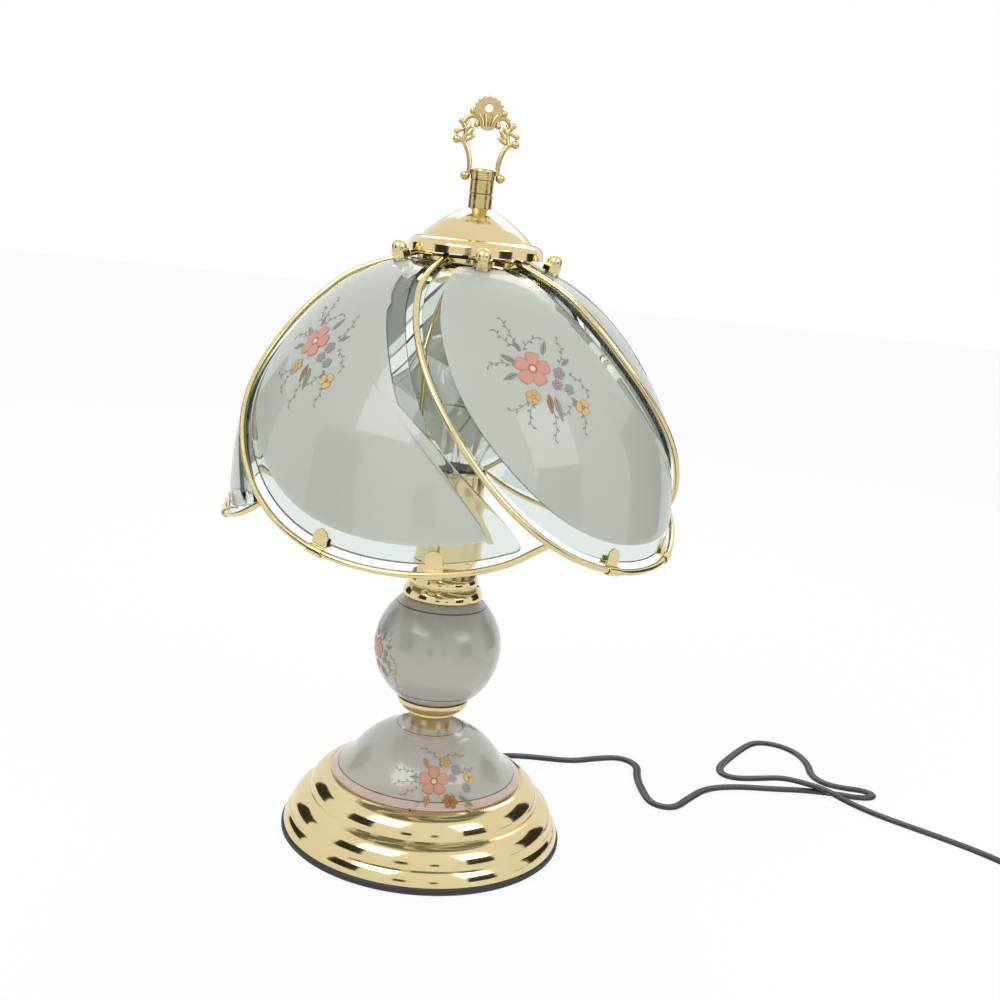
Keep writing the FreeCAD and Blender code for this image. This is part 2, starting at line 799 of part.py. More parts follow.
def rounded_corner(first, second, radius):
    """Shorten two curves that meet and join them by a small bend."""
    corner = first.value(first.LastParameter)
    cut_first = first.parameterAtDistance(first.length() - radius, first.FirstParameter)
    cut_second = second.parameterAtDistance(radius, second.FirstParameter)
    a = first.value(cut_first)
    b = second.value(cut_second)
    bend = Part.BezierCurve()
    bend.setPoles([a, a + (corner - a) * 0.7, b + (corner - b) * 0.7, b])
    return [first.toShape(first.FirstParameter, cut_first), bend.toShape(),
            second.toShape(cut_second, second.LastParameter)]


def petal_outline():
    """Closed outline of one petal: wire side and foot, rounded corner, free edge, top."""
    route = route_on_dome(wire_route, 0.0, wire_points_count)
    insets = []
    for k in range(wire_points_count):
        share = min(max((k / (wire_points_count - 1.0) - 0.35) / 0.2, 0.0), 1.0)
        insets.append(glass_inset_top + share * (glass_inset_foot - glass_inset_top))
    edge = moved_inward(route, insets)
    free = route_on_dome(free_edge, 0.0, 7)
    corner_azimuth = math.atan2(free[-1].x, -free[-1].y)
    side = [p for p in edge if math.atan2(p.x, -p.y) < corner_azimuth - 0.1]
    first = spline([flattened(p) for p in side + [free[-1]]])
    second = spline([flattened(p) for p in reversed(free)])
    closing = Part.LineSegment(flattened(free[0]), flattened(edge[0])).toShape()
    return Part.Wire(rounded_corner(first, second, corner_radius * cutter_reach / glass_profile[-1][0]) + [closing])


def make_glass_petal():
    """Bent glass: a slice of the dome's wall cut to the petal outline, with a hole for its stud."""
    outer = glass_curve()
    inner = glass_curve(-glass_thickness)
    a = outer.toShape()
    b = inner.toShape()
    top = Part.LineSegment(inner.value(inner.FirstParameter), outer.value(outer.FirstParameter)).toShape()
    foot = Part.LineSegment(outer.value(outer.LastParameter), inner.value(inner.LastParameter)).toShape()
    face = Part.Face(Part.Wire(Part.sortEdges([a, foot, b, top])[0]))
    face.rotate(V(0, 0, 0), V(0, 0, 1), front_nut_azimuth - 90 - 60)
    wall = face.revolve(V(0, 0, 0), V(0, 0, 1), 170)
    outline = petal_outline()
    near = outline.copy()
    near.scale(0.3, V(0, 0, glass_focus))
    cutter = Part.makeLoft([near, outline], True, True)
    glass = wall.common(cutter)
    middle = Part.makeCylinder(hub_radius + 2.0, 400)
    return glass.cut(middle).cut(stud_bore(petal_stud_diameter / 2 + 0.4))


def stud_frame():
    """Where a stud stands on the glass, and the way it points."""
    slope = math.radians(dome_slope_at(nut_ring_radius))
    seat = around(nut_ring_radius, front_nut_azimuth, dome_height_at(nut_ring_radius, 0.0))
    heading = around(math.sin(slope), front_nut_azimuth, math.cos(slope))
    return seat, heading


def stud_bore(radius):
    seat, heading = stud_frame()
    return Part.makeCylinder(radius, 30, seat - heading * 15, heading)


def repeated(shape):
    step = 360.0 / petal_count
    return [turned(shape, step * k) for k in range(petal_count)]


def make_shade_plate():
    """Dished plate under the glass."""
    flat = plate_flat()
    bend = hub_radius + 2.0
    drop = washer_rubber / math.cos(math.radians(dome_slope_at(nut_ring_radius)))
    rows = [(r, dome_height_at(r, -glass_thickness) - drop) for r in (bend, nut_ring_radius, plate_radius)]
    hole = stud_diameter / 2 + rod_clearance
    plate = revolve([(hole, flat - plate_thickness), (hole, flat), (bend - 1.0, flat), rows[0],
                     (rows[1], rows[2]), (rows[2][0], rows[2][1] - plate_thickness),
                     ((rows[1][0], rows[1][1] - plate_thickness), (rows[0][0] - 1.0, rows[0][1] - plate_thickness)),
                     (bend - 2.0, flat - plate_thickness)])
    for bore in repeated(stud_bore(petal_stud_diameter / 2 + 0.1)):
        plate = plate.cut(bore)
    return plate


def hub_top():
    return wire_points()[0].z - wire_radius + 0.9


def make_frame_hub(wires):
    """Disc that the five wires are brazed to, notched for their ends."""
    low = plate_flat()
    top = hub_top()
    hole = stud_diameter / 2 + rod_clearance
    hub = revolve([(hole, low), (hub_boss_radius, low), (hub_boss_radius, top - hub_thickness),
                   (hub_radius, top - hub_thickness), (hub_radius, top - 0.6), (hub_radius - 0.6, top), (hole, top)])
    for wire in wires:
        hub = hub.cut(wire)
    return hub


def make_hub_nut():
    low = hub_top()
    nut = hexagon(11.0, 4.0, V(0, 0, low))
    return nut.cut(Part.makeCylinder(stud_diameter / 2 + 0.05, 8, V(0, 0, low - 2)))


def in_stud_frame(shape):
    """Move a shape that is built upright at the origin onto the first petal's stud seat."""
    seat, heading = stud_frame()
    copy = shape.copy()
    copy.Placement = FreeCAD.Placement(seat, FreeCAD.Rotation(V(0, 0, 1), heading)).multiply(copy.Placement)
    return copy


def make_petal_studs():
    under = -glass_thickness - washer_rubber - plate_thickness - head_gap
    head = Part.makeCylinder(petal_stud_diameter * 0.9, stud_head, V(0, 0, under - stud_head))
    stem = Part.makeCylinder(petal_stud_diameter / 2, washer_rubber + 5.0 - under, V(0, 0, under))
    return Part.makeCompound(repeated(in_stud_frame(head.fuse(stem).removeSplitter())))


def make_petal_washers():
    outer = petal_stud_diameter / 2 + 2.4
    bore = petal_stud_diameter / 2 + 0.05
    rings = [in_stud_frame(tube(outer, bore, 0.08, washer_rubber)),
             in_stud_frame(tube(outer, bore, -glass_thickness - washer_rubber + 0.12, -glass_thickness - 0.16))]
    every = []
    for ring in rings:
        every += repeated(ring)
    return Part.makeCompound(every)


def make_acorn_nuts():
    low = washer_rubber
    base = hexagon(acorn_flats, acorn_hex_height, V(0, 0, low))
    radius = acorn_flats / 2 - 0.3
    crown = revolve([(0, low + acorn_hex_height), (radius, low + acorn_hex_height),
                     (radius, low + acorn_height - radius),
                     ((radius * math.cos(math.radians(45)), low + acorn_height - radius * (1 - math.sin(math.radians(45)))),
                      (0, low + acorn_height))])
    nut = base.fuse(crown).cut(Part.makeCylinder(petal_stud_diameter / 2 + 0.02, 5.4, V(0, 0, low)))
    return Part.makeCompound(repeated(in_stud_frame(nut)))


def clip_frame(angle):
    """Wire point next to a clip, with the wire's heading, the way out and the way up the glass."""
    steps = 40
    path = spline(wire_points())
    best = None
    for k in range(steps * len(wire_route)):
        u = path.FirstParameter + (path.LastParameter - path.FirstParameter) * k / (steps * len(wire_route) - 1)
        p = path.value(u)
        azimuth = math.degrees(math.atan2(p.x, -p.y)) - front_nut_azimuth
        miss = abs((azimuth - angle + 180) % 360 - 180)
        if best is None or miss < best[0]:
            best = (miss, u)
    here = path.value(best[1])
    along = path.tangent(best[1])[0]
    level = V(here.x, here.y, 0).normalize()
    high = dome_radius_at(here.z + 4, 0.0)
    low = dome_radius_at(here.z, 0.0)
    out = (level * 4 - V(0, 0, high - low)).normalize()
    out = (out - along * out.dot(along)).normalize()
    up = out.cross(along)
    if up.z < 0:
        up = up * -1
    return here, along, out, up


def make_clip():
    """Folded brass strip: a rounded tab outside, a short one inside and a hook round the wire."""
    half = clip_width / 2
    face = -wire_rise + 0.15
    inside = face - glass_thickness - 0.35
    edge = glass_inset_foot - clip_play
    tab = Part.makeBox(clip_sheet, clip_width, clip_tab - half, V(face, -half, 0.9))
    dome = Part.makeCylinder(half, clip_sheet, V(face, 0, 0.9 + clip_tab - half), V(1, 0, 0))
    web = Part.makeBox(face - inside + clip_sheet * 2, clip_width, clip_sheet, V(inside - clip_sheet, -half, edge - clip_sheet))
    inner_tab = Part.makeBox(clip_sheet, clip_width, 4.2, V(inside - clip_sheet, -half, edge - clip_sheet))
    hook = Part.makeCylinder(wire_radius + clip_sheet, clip_width, V(0, -half, 0), V(0, 1, 0))
    bore = Part.makeCylinder(wire_radius + 0.2, clip_width + 2, V(0, -half - 1, 0), V(0, 1, 0))
    return tab.fuse([dome, web, inner_tab, hook]).removeSplitter().cut(bore)


def make_petal_clips():
    """Ten clips, two on each petal."""
    clip = make_clip()
    every = []
    for angle in clip_angles:
        here, along, out, up = clip_frame(angle)
        across = up.cross(out)
        matrix = FreeCAD.Matrix(out.x, across.x, up.x, here.x, out.y, across.y, up.y, here.y,
                                out.z, across.z, up.z, here.z, 0, 0, 0, 1)
        placed = clip.copy()
        placed.Placement = FreeCAD.Placement(matrix)
        every += repeated(placed)
    return Part.makeCompound(every)


# ---------------------------------------------------------------- cap and finial
def cap_foot():
    """The cap's rim rests on the five wires."""
    return dome_height_at(cap_radius - cap_wall, wire_rise) + wire_radius + 0.15


def make_shade_cap():
    """Spun cap: upright flange, rolled lower ring, ogee cone and neck."""
    low = cap_foot()
    top = low + cap_height
    hole = stud_diameter / 2 + rod_clearance
    w = cap_wall
    r = cap_radius
    cone = ((0.56 * r, 0.69 * cap_height), (0.35 * r, 0.89 * cap_height))
    return revolve([(r - w, low), (r, low), (r, low + cap_flange),
                    ((r - 1.2, low + cap_flange + 1.9), (r - 4.4, low + cap_flange + 3.6)),
                    (r - 6.0, low + cap_flange + 3.8),
                    ((cone[0][0], low + cone[0][1]), (cone[1][0], low + cone[1][1])),
                    (cap_neck_radius, top), (hole, top), (hole, top - w), (cap_neck_radius - 0.4, top - w),
                    (cone[1][0] - 0.4 * w, low + cone[1][1] - w),
                    ((cone[0][0] - 0.6 * w, low + cone[0][1] - w), (r - 6.0 - 0.2 * w, low + cap_flange + 3.8 - w)),
                    (r - 4.4 - 0.2 * w, low + cap_flange + 3.6 - w),
                    ((r - 1.2 - 0.8 * w, low + cap_flange + 1.9 - 0.8 * w), (r - w, low + cap_flange))])


def cap_top():
    return cap_foot() + cap_height


def make_finial_coupler():
    low = cap_top()
    bore = stud_diameter / 2 + 0.05
    r = post_radius
    return revolve([(bore, low), (r, low), (r, low + coupler_height - 0.4), (r - 0.4, low + coupler_height),
                    (bore, low + coupler_height)])


def post_top():
    return cap_top() + coupler_height + post_height


def make_finial_post():
    """Turned post with a fine groove and a rounded head, tapped from below."""
    low = cap_top() + coupler_height
    top = post_top()
    r = post_radius
    bore = stud_diameter / 2 + 0.05
    depth = stud_top() + 0.5
    groove = low + 0.53 * post_height
    return revolve([(bore, low), (r - 0.3, low), (r, low + 0.3), (r, groove - 0.3), (r - 0.3, groove),
                    (r, groove + 0.3), (r, top - 1.4), ((r - 0.5, top - 0.5), (r - 1.8, top)),
                    (0, top), (0, depth), (bore, depth)])


def finial_point(x, z):
    return V(x, 0, post_top() + z)


def make_finial_loop():
    """Cast loop: two scrolled arms on ball feet, leaf shoulders and a shell crest with a beaded edge."""
    size = loop_height / 34.6
    thick = finial_thickness

    def at(x, z):
        return finial_point(x * size, z * size)

    def ball(x, z, radius):
        return Part.makeSphere(radius * size, at(x, z))

    half = swept(biarc_wire([at(6.9, -3.2), at(7.1, 1.6), at(8.3, 7.0), at(11.0, 11.8), at(14.2, 13.4)]),
                 finial_wire / 2 * size)
    shoulder = biarc_wire([at(11.2, 12.0), at(10.4, 17.0), at(11.6, 21.6), at(8.4, 24.9), at(4.9, 24.0), at(5.2, 21.0)])
    curl = biarc_wire([at(13.0, 21.6), at(11.8, 18.5), at(14.6, 16.9)])
    pieces = [swept(shoulder, finial_wire / 2 * size), swept(curl, 0.9 * size)]
    for x, z, radius in scroll_balls:
        pieces.append(ball(x, z, radius))
    for root_z, tip_x, tip_z in leaf_lobes:
        long = (math.hypot(leaf_root - tip_x, tip_z - root_z) / 2 + 0.6) * size
        lobe = revolve([(0, -long), (leaf_tip, -long), ((leaf_rib * size, 0), (leaf_tip, long)), (0, long)])
        lean = math.degrees(math.atan2(leaf_root - tip_x, tip_z - root_z))
        lobe.rotate(V(0, 0, 0), V(0, 1, 0), -lean)
        lobe.translate(at((leaf_root + tip_x) / 2, (root_z + tip_z) / 2))
        pieces.append(lobe)
    half = half.fuse(pieces)
    loop = crest_plate(at, size, thick).fuse(half).fuse(half.mirror(V(0, 0, 0), V(1, 0, 0)))
    bead_radius = 7.0
    for k in range(bead_count):
        turn = math.radians(-12 + 204.0 * k / (bead_count - 1))
        loop = loop.fuse(ball(bead_radius * math.cos(turn), 27.4 + bead_radius * math.sin(turn), 1.05))
    return loop.cut(Part.makeCylinder(post_radius, 2 * post_height, V(0, 0, cap_top())))


def crest_plate(at, size, thick):
    """Fan shaped plate with ribs and a round hole."""
    outline = Part.Wire([
        Part.Arc(at(-6.8, 26.0), at(0, 34.2), at(6.8, 26.0)).toShape(),
        Part.Arc(at(6.8, 26.0), at(4.6, 23.4), at(3.9, 20.4)).toShape(),
        Part.Arc(at(3.9, 20.4), at(0, 18.6), at(-3.9, 20.4)).toShape(),
        Part.Arc(at(-3.9, 20.4), at(-4.6, 23.4), at(-6.8, 26.0)).toShape()])
    plate = Part.Face(outline).extrude(V(0, thick, 0))
    plate.translate(V(0, -thick / 2, 0))
    hole = Part.makeCylinder(2.1 * size, 4 * thick, at(0, 29.3) + V(0, -2 * thick, 0), V(0, 1, 0))
    ribs = []
    for x in (-3.6, -1.3, 1.3, 3.6):
        for face in (-1, 1):
            rib = biarc_wire([at(0.62 * x, 20.6) + V(0, face * thick / 2, 0), at(0.8 * x, 23.4) + V(0, face * thick / 2, 0),
                              at(1.35 * x, 26.2) + V(0, face * thick / 2, 0)])
            ribs.append(swept(rib, 0.7 * size))
    for rib in ribs:
        plate = plate.fuse(rib)
    return plate.cut(hole)


# ---------------------------------------------------------------- cord
def on_table(x, y, lift=0.0):
    return V(x, y, cord_diameter / 2 + lift)


def cord_route():
    """Points of the free stretch, chosen by eye, from the bushing to the coil."""
    heading = around(1, 90 + bushing_azimuth, 0)
    start = cord_start()
    over = cord_diameter + 0.3
    out = [start, start + heading * 6.0, start + heading * 13.0 + V(0.8, 0, -3.8),
           start + heading * 19.5 + V(4.5, 0, -9.0)]
    table = [(54, 109, 0), (72, 109, 0), (91, 108, 0), (109, 117, 0), (124, 121, 0), (133, 110, 0), (130, 92, 0),
             (131, 72, 0), (134, 54, 0), (147, 50, 0), (158, 66, 0), (172, 84, 0), (192, 91, 0), (214, 92, 0),
             (236, 94.5, 0), (255, 93, 0), (268, 90, 0), (277, 91.5, 0), (280, 97, 0), (275, 102, 0),
             (264, 103, 0), (252, 107, 0), (246, 119, 0), (249, 137, 0), (246, 156, 0), (235, 169, 0), (220, 170, 0),
             (208, 154, 0), (197, 137, 0), (188, 122, 0), (185.5, 112, 0), (189, 105.5, 0), (197, 104, 0),
             (209, 106, 0.4), (223, 104, over), (236, 99, over), (248, 91, over), (260, 80, 0.6), (273, 67, 0),
             (289, 54, 0), (305, 41.5, 0), (320, 28.5, 0), (333, 14, 0), (343, -1, 0)]
    out += [on_table(*p) for p in table]
    return out + [coil_entry() + V(0, 14, 0), coil_entry()]


def route_radii(points):
    rows = []
    for a, b, c in zip(points, points[1:], points[2:]):
        before = b - a
        after = c - b
        turn = before.getAngle(after)
        short = min(before.Length, after.Length)
        rows.append((0.45 * short / math.tan(turn / 2), math.degrees(turn)))
    return rows


def make_power_cord():
    """Tube along straight runs joined by tangent arcs."""
    points = cord_route()
    rows = route_radii(points)
    edges = []
    here = points[0]
    for k, (radius, turn) in enumerate(rows):
        b = points[k + 1]
        before = (b - points[k]).normalize()
        after = (points[k + 2] - b).normalize()
        reach = radius * math.tan(math.radians(turn) / 2)
        enter = b - before * reach
        leave = b + after * reach
        edges.append(Part.LineSegment(here, enter).toShape())
        edges.append(arc_with_control(enter, b, leave))
        here = leave
    edges.append(Part.LineSegment(here, points[-1]).toShape())
    path = Part.Wire(edges)
    body = swept(path, cord_diameter / 2)
    ideal = math.pi * cord_diameter ** 2 / 4 * path.Length
    print("cord: length %.0f, volume %.0f of %.0f, radii %s" % (
        path.Length, body.Volume, ideal, " ".join("%.0f" % r for r, t in rows)))
    print("cord: largest turn %.0f degrees" % max(t for r, t in rows))
    return body


def coil_lift(turns):
    """Height of the centre line: the second layer is reached in the half turn where the spiral reverses."""
    share = min(max((turns - coil_turns + 0.25) / 0.5, 0.0), 1.0)
    return cord_diameter / 2 + coil_layer * share


def coil_middle(turns):
    """Centre line of the coil, at a number of turns from its start: inward on the table, outward on top."""
    inward = turns if turns <= coil_turns else 2 * coil_turns - turns
    outer = coil_turn_diameter / 2 + coil_pitch * coil_turns / 2
    radius = outer - coil_pitch * inward
    angle = math.pi + 2 * math.pi * turns
    return V(coil_centre[0] + radius * math.cos(angle), coil_centre[1] + radius * math.sin(angle), coil_lift(turns))


def coil_heading(turns):
    """Direction of travel: round the coil, level where a layer begins or ends, and climbing between."""
    angle = math.pi + 2 * math.pi * turns
    level = V(-math.sin(angle), math.cos(angle), 0)
    climbing = coil_layer if abs(turns - coil_turns) < 0.2 else 0.0
    run = math.pi * (coil_turn_diameter - coil_pitch * coil_turns) / 2
    return (level + V(0, 0, 1.4 * climbing / run)).normalize()


def coil_entry():
    return coil_middle(0) + V(0, cord_diameter, 0)


def coil_end():
    return coil_middle(2 * coil_turns) - V(0, coil_tail, 0)


def make_power_cord_coil():
    """Put away length: two layers of turns, one unbroken tube, with a straight tail for the plug."""
    marks = [k / 4.0 for k in range(8 * coil_turns + 1)]
    points = [coil_middle(m) for m in marks]
    turns = biarc_wire(points, headings=[coil_heading(m) for m in marks])
    path = Part.Wire([Part.LineSegment(coil_entry(), points[0]).toShape()] + turns.OrderedEdges
                     + [Part.LineSegment(points[-1], coil_end()).toShape()])
    body = swept(path, cord_diameter / 2)
    samples = []
    for edge in turns.OrderedEdges:
        span = edge.LastParameter - edge.FirstParameter
        samples += [edge.valueAt(edge.FirstParameter + span * k / 6) for k in range(6)]
    apart = len(samples) // (4 * coil_turns)
    least = min(a.distanceToPoint(b) for i, a in enumerate(samples) for b in samples[i + apart:])
    print("coil: length %.0f, least gap to itself %.2f, volume %.0f of %.0f" % (
        path.Length, least - cord_diameter, body.Volume, math.pi * cord_diameter ** 2 / 4 * path.Length))
    return body


def make_plug_body():
    """Moulded plug lying on the table beside the coil: tapered neck and flat body."""
    start = coil_end()
    half = start.z
    neck = Part.makeCone(cord_diameter / 2 + 1.2, half - 0.4, plug_neck, start, V(0, -1, 0))
    body = Part.makeBox(plug_width, plug_length - plug_neck, 2 * half,
                        V(start.x - plug_width / 2, start.y - plug_length, 0))
    upright = [e for e in body.Edges if abs(e.Vertexes[0].Z - e.Vertexes[-1].Z) > 1]
    return body.makeFillet(3.0, upright).fuse(neck)


def make_plug_blades():
    start = coil_end()
    blades = []
    for side in (-1, 1):
        corner = V(start.x + side * blade_spacing / 2 - blade_thickness / 2, start.y - plug_length - blade_length,
                   start.z - blade_width / 2)
        blades.append(Part.makeBox(blade_thickness, blade_length, blade_width, corner))
    return Part.makeCompound(blades)


# ---------------------------------------------------------------- build and write
def build():
    parts["foot_ring"] = make_foot_ring()
    parts["felt_pad"] = make_felt_pad()
    parts["base_weight"] = make_base_weight()
    parts["base_shell"] = make_base_shell()
    parts["touch_control_box"] = make_control_box()
    parts["inner_cord"] = make_inner_cord()
    parts["cord_bushing"] = make_bushing()
    parts["socket_leads"] = make_socket_leads()
    parts["threaded_rod"] = make_threaded_rod()
    parts["rod_nut"] = make_rod_nut()
    parts["rod_washer"] = make_rod_washer()
    parts["base_dome"] = make_base_dome()
    parts["lower_cup"] = make_lower_cup()
    parts["ceramic_ball"] = make_ceramic_ball()
    parts["upper_collar"] = make_upper_collar()
    parts["harp_saddle"] = make_harp_saddle()
    parts["harp"] = make_harp()
    parts["harp_sleeve_1"] = make_harp_sleeve(1)
    parts["harp_sleeve_2"] = make_harp_sleeve(-1)
    parts["harp_crown"] = make_harp_crown()
    parts["harp_stud"] = make_harp_stud()
    parts["socket_cap"] = make_holder_cap()
    parts["socket_shell"] = make_holder_shell()
    parts["socket_liner"] = make_holder_liner()
    parts["socket_body"] = make_holder_body()
    parts["socket_screw_shell"] = make_screw_shell()
    parts["bulb_glass"] = make_bulb_glass()
    parts["bulb_screw_base"] = make_bulb_base()
    parts["bulb_stem"] = make_bulb_stem()
    parts["bulb_filament"] = make_bulb_filament()
    wires = repeated(make_petal_wire())
    for k in range(petal_count):
        parts["petal_wire_%d" % (k + 1)] = wires[k].cut(wires[(k + 1) % petal_count])
    parts["frame_hub"] = make_frame_hub(wires)
    parts["shade_plate"] = make_shade_plate()
    for k, glass in enumerate(repeated(make_glass_petal())):
        parts["glass_petal_%d" % (k + 1)] = glass
    parts["petal_studs"] = make_petal_studs()
    parts["petal_washers"] = make_petal_washers()
    parts["acorn_nuts"] = make_acorn_nuts()
    parts["petal_clips"] = make_petal_clips()
    parts["hub_nut"] = make_hub_nut()
    parts["shade_cap"] = make_shade_cap()
    parts["finial_coupler"] = make_finial_coupler()
    parts["finial_post"] = make_finial_post()
    parts["finial_loop"] = make_finial_loop()
    parts["power_cord"] = make_power_cord()
    parts["power_cord_coil"] = make_power_cord_coil()
    parts["plug_body"] = make_plug_body()
    parts["plug_blades"] = make_plug_blades()


build()
os.makedirs("parts", exist_ok=True)
for name, shape in parts.items():
    box = shape.BoundBox
    print("%-20s solids %2d valid %s volume %9.1f z %.2f to %.2f" % (
        name, len(shape.Solids), shape.isValid(), shape.Volume, box.ZMin, box.ZMax))
    solids = shape.Solids
    result = solids[0] if len(solids) == 1 else Part.makeCompound(solids)
    result.exportStep("parts/%s.step" % name)
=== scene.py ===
import math

import bmesh
import bpy
import numpy as np
from mathutils import Matrix, Vector
from mathutils.bvhtree import BVHTree


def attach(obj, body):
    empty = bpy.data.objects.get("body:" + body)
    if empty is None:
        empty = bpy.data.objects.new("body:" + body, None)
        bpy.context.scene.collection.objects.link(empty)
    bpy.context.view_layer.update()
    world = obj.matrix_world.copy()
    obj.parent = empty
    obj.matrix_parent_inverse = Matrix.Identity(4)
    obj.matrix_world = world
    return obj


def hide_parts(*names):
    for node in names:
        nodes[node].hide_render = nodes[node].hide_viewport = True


# Looks of a tulip shade touch lamp: five bent glass petals in a brass wire pinwheel over a ceramic ball
# and dome on a stepped brass base. Metres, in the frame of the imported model.

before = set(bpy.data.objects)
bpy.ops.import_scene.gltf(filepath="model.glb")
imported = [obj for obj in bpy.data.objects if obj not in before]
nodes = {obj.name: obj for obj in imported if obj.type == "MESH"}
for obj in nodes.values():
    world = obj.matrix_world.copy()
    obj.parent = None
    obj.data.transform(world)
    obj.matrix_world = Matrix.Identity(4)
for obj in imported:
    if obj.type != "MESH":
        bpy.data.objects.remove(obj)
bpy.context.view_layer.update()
scene = bpy.context.scene
mm = 0.001
print("lamp: frame is in,", len(nodes), "nodes")


def tint(code):  # sRGB hex to linear colour with alpha
    parts = [int(code[k:k + 2], 16) / 255 for k in (0, 2, 4)]
    return [c / 12.92 if c <= 0.04045 else ((c + 0.055) / 1.055) ** 2.4 for c in parts] + [1.0]


def put(tree, kind, settings=None, sockets=None):  # adds a node, sets it up and links it
    node = tree.nodes.new(kind)
    for name, value in (settings or {}).items():
        setattr(node, name, value)
    for key, value in (sockets or {}).items():
        if isinstance(value, bpy.types.NodeSocket):
            tree.links.new(value, node.inputs[key])
        else:
            node.inputs[key].default_value = value
    return node


def addPiece(name, mesh):
    piece = bpy.data.objects.new(name, mesh)
    scene.collection.objects.link(piece)
    return piece


# ---- camera, at the photograph's place
cameraSet = {
    "place": (0.0, -0.65997, 0.31972),
    "right": (0.99473506, -0.01707993, 0.10104668),
    "up": (-0.09556317, 0.20150629, 0.97481429),
    "lens": 46.865,
    "sensor": 36.0,
}
lens = bpy.data.cameras.new("studioCamera")
lens.lens = cameraSet["lens"]
lens.sensor_width = cameraSet["sensor"]
lens.clip_start = 0.01
eye = bpy.data.objects.new("studioCamera", lens)
scene.collection.objects.link(eye)
eyeRight = Vector(cameraSet["right"]).normalized()
eyeUp = Vector(cameraSet["up"])
eyeUp = (eyeUp - eyeRight * eyeUp.dot(eyeRight)).normalized()
turn = Matrix((eyeRight, eyeUp, eyeRight.cross(eyeUp))).transposed()
eye.matrix_world = Matrix.Translation(cameraSet["place"]) @ turn.to_4x4()
scene.camera = eye
scene.view_settings.view_transform = "Standard"

# ---- room: white backdrop, pale floor, softboxes, and dark flags that only polished metal shows
roomSet = {
    "fill": 0.62,          # strength of the white room on the object
    "floorHex": "FBFBFA",
    "floorGlow": 0.90,     # share of plain white in what the camera sees of the floor
    "lamps": [             # place, target, width, height, watts
        ((-0.75, -0.95, 1.25), (0, 0, 0.22), 0.9, 0.9, 9.0),
        ((0.95, -0.75, 0.85), (0, 0, 0.20), 0.6, 0.9, 4.0),
        ((0.10, 0.95, 1.10), (0, 0, 0.25), 1.0, 0.6, 5.0),
    ],
    "flagHex": "2B2A22",
    "flags": [             # azimuth from the front, distance, lowest and highest edge, half width in degrees
        (-58.0, 0.9, 0.02, 0.52, 13.0),
        (-12.0, 1.4, 0.00, 0.30, 5.0),
        (14.0, 1.3, 0.00, 0.22, 3.0),
        (52.0, 1.0, 0.02, 0.46, 12.0),
        (112.0, 1.0, 0.00, 0.60, 16.0),
        (-118.0, 1.0, 0.00, 0.55, 14.0),
        (176.0, 1.2, 0.00, 0.50, 12.0),
    ],
}


def hideButGloss(stagePiece):
    stagePiece.visible_camera = False
    stagePiece.visible_diffuse = False
    stagePiece.visible_transmission = False
    stagePiece.visible_shadow = False


room = bpy.data.worlds.new("studioRoom")
scene.world = room
room.use_nodes = True
sky = room.node_tree
sky.nodes.clear()
ray = put(sky, "ShaderNodeLightPath")
seen = put(sky, "ShaderNodeMath", {"operation": "MAXIMUM"},
           {0: ray.outputs["Is Camera Ray"], 1: ray.outputs["Is Glossy Ray"]})
seen = put(sky, "ShaderNodeMath", {"operation": "MAXIMUM"},
           {0: seen.outputs[0], 1: ray.outputs["Is Transmission Ray"]})
soft = put(sky, "ShaderNodeBackground", None, {"Color": (1, 1, 1, 1), "Strength": roomSet["fill"]})
white = put(sky, "ShaderNodeBackground", None, {"Color": (1, 1, 1, 1), "Strength": 1.0})
either = put(sky, "ShaderNodeMixShader", None, {0: seen.outputs[0], 1: soft.outputs[0], 2: white.outputs[0]})
put(sky, "ShaderNodeOutputWorld", None, {"Surface": either.outputs[0]})

floorFinish = bpy.data.materials.new("mattPaperFloor")  # matt white paper: no gloss, keeps a soft shadow
floorFinish.use_nodes = True
tree = floorFinish.node_tree
tree.nodes.clear()
ray = put(tree, "ShaderNodeLightPath")
seen = put(tree, "ShaderNodeMath", {"operation": "MAXIMUM"},
           {0: ray.outputs["Is Camera Ray"], 1: ray.outputs["Is Glossy Ray"]})
seen = put(tree, "ShaderNodeMath", {"operation": "MAXIMUM"},
           {0: seen.outputs[0], 1: ray.outputs["Is Transmission Ray"]})
share = put(tree, "ShaderNodeMath", {"operation": "MULTIPLY"}, {0: seen.outputs[0], 1: roomSet["floorGlow"]})
paper = put(tree, "ShaderNodeBsdfDiffuse", None, {"Color": tint(roomSet["floorHex"])})
glow = put(tree, "ShaderNodeEmission", None, {"Color": (1, 1, 1, 1), "Strength": 1.0})
either = put(tree, "ShaderNodeMixShader", None, {0: share.outputs[0], 1: paper.outputs[0], 2: glow.outputs[0]})
put(tree, "ShaderNodeOutputMaterial", None, {"Surface": either.outputs[0]})
sheet = bpy.data.meshes.new("floor")
sheet.from_pydata([(-6, -6, -0.0003), (6, -6, -0.0003), (6, 6, -0.0003), (-6, 6, -0.0003)], [], [(0, 1, 2, 3)])
sheet.materials.append(floorFinish)
addPiece("floor", sheet)

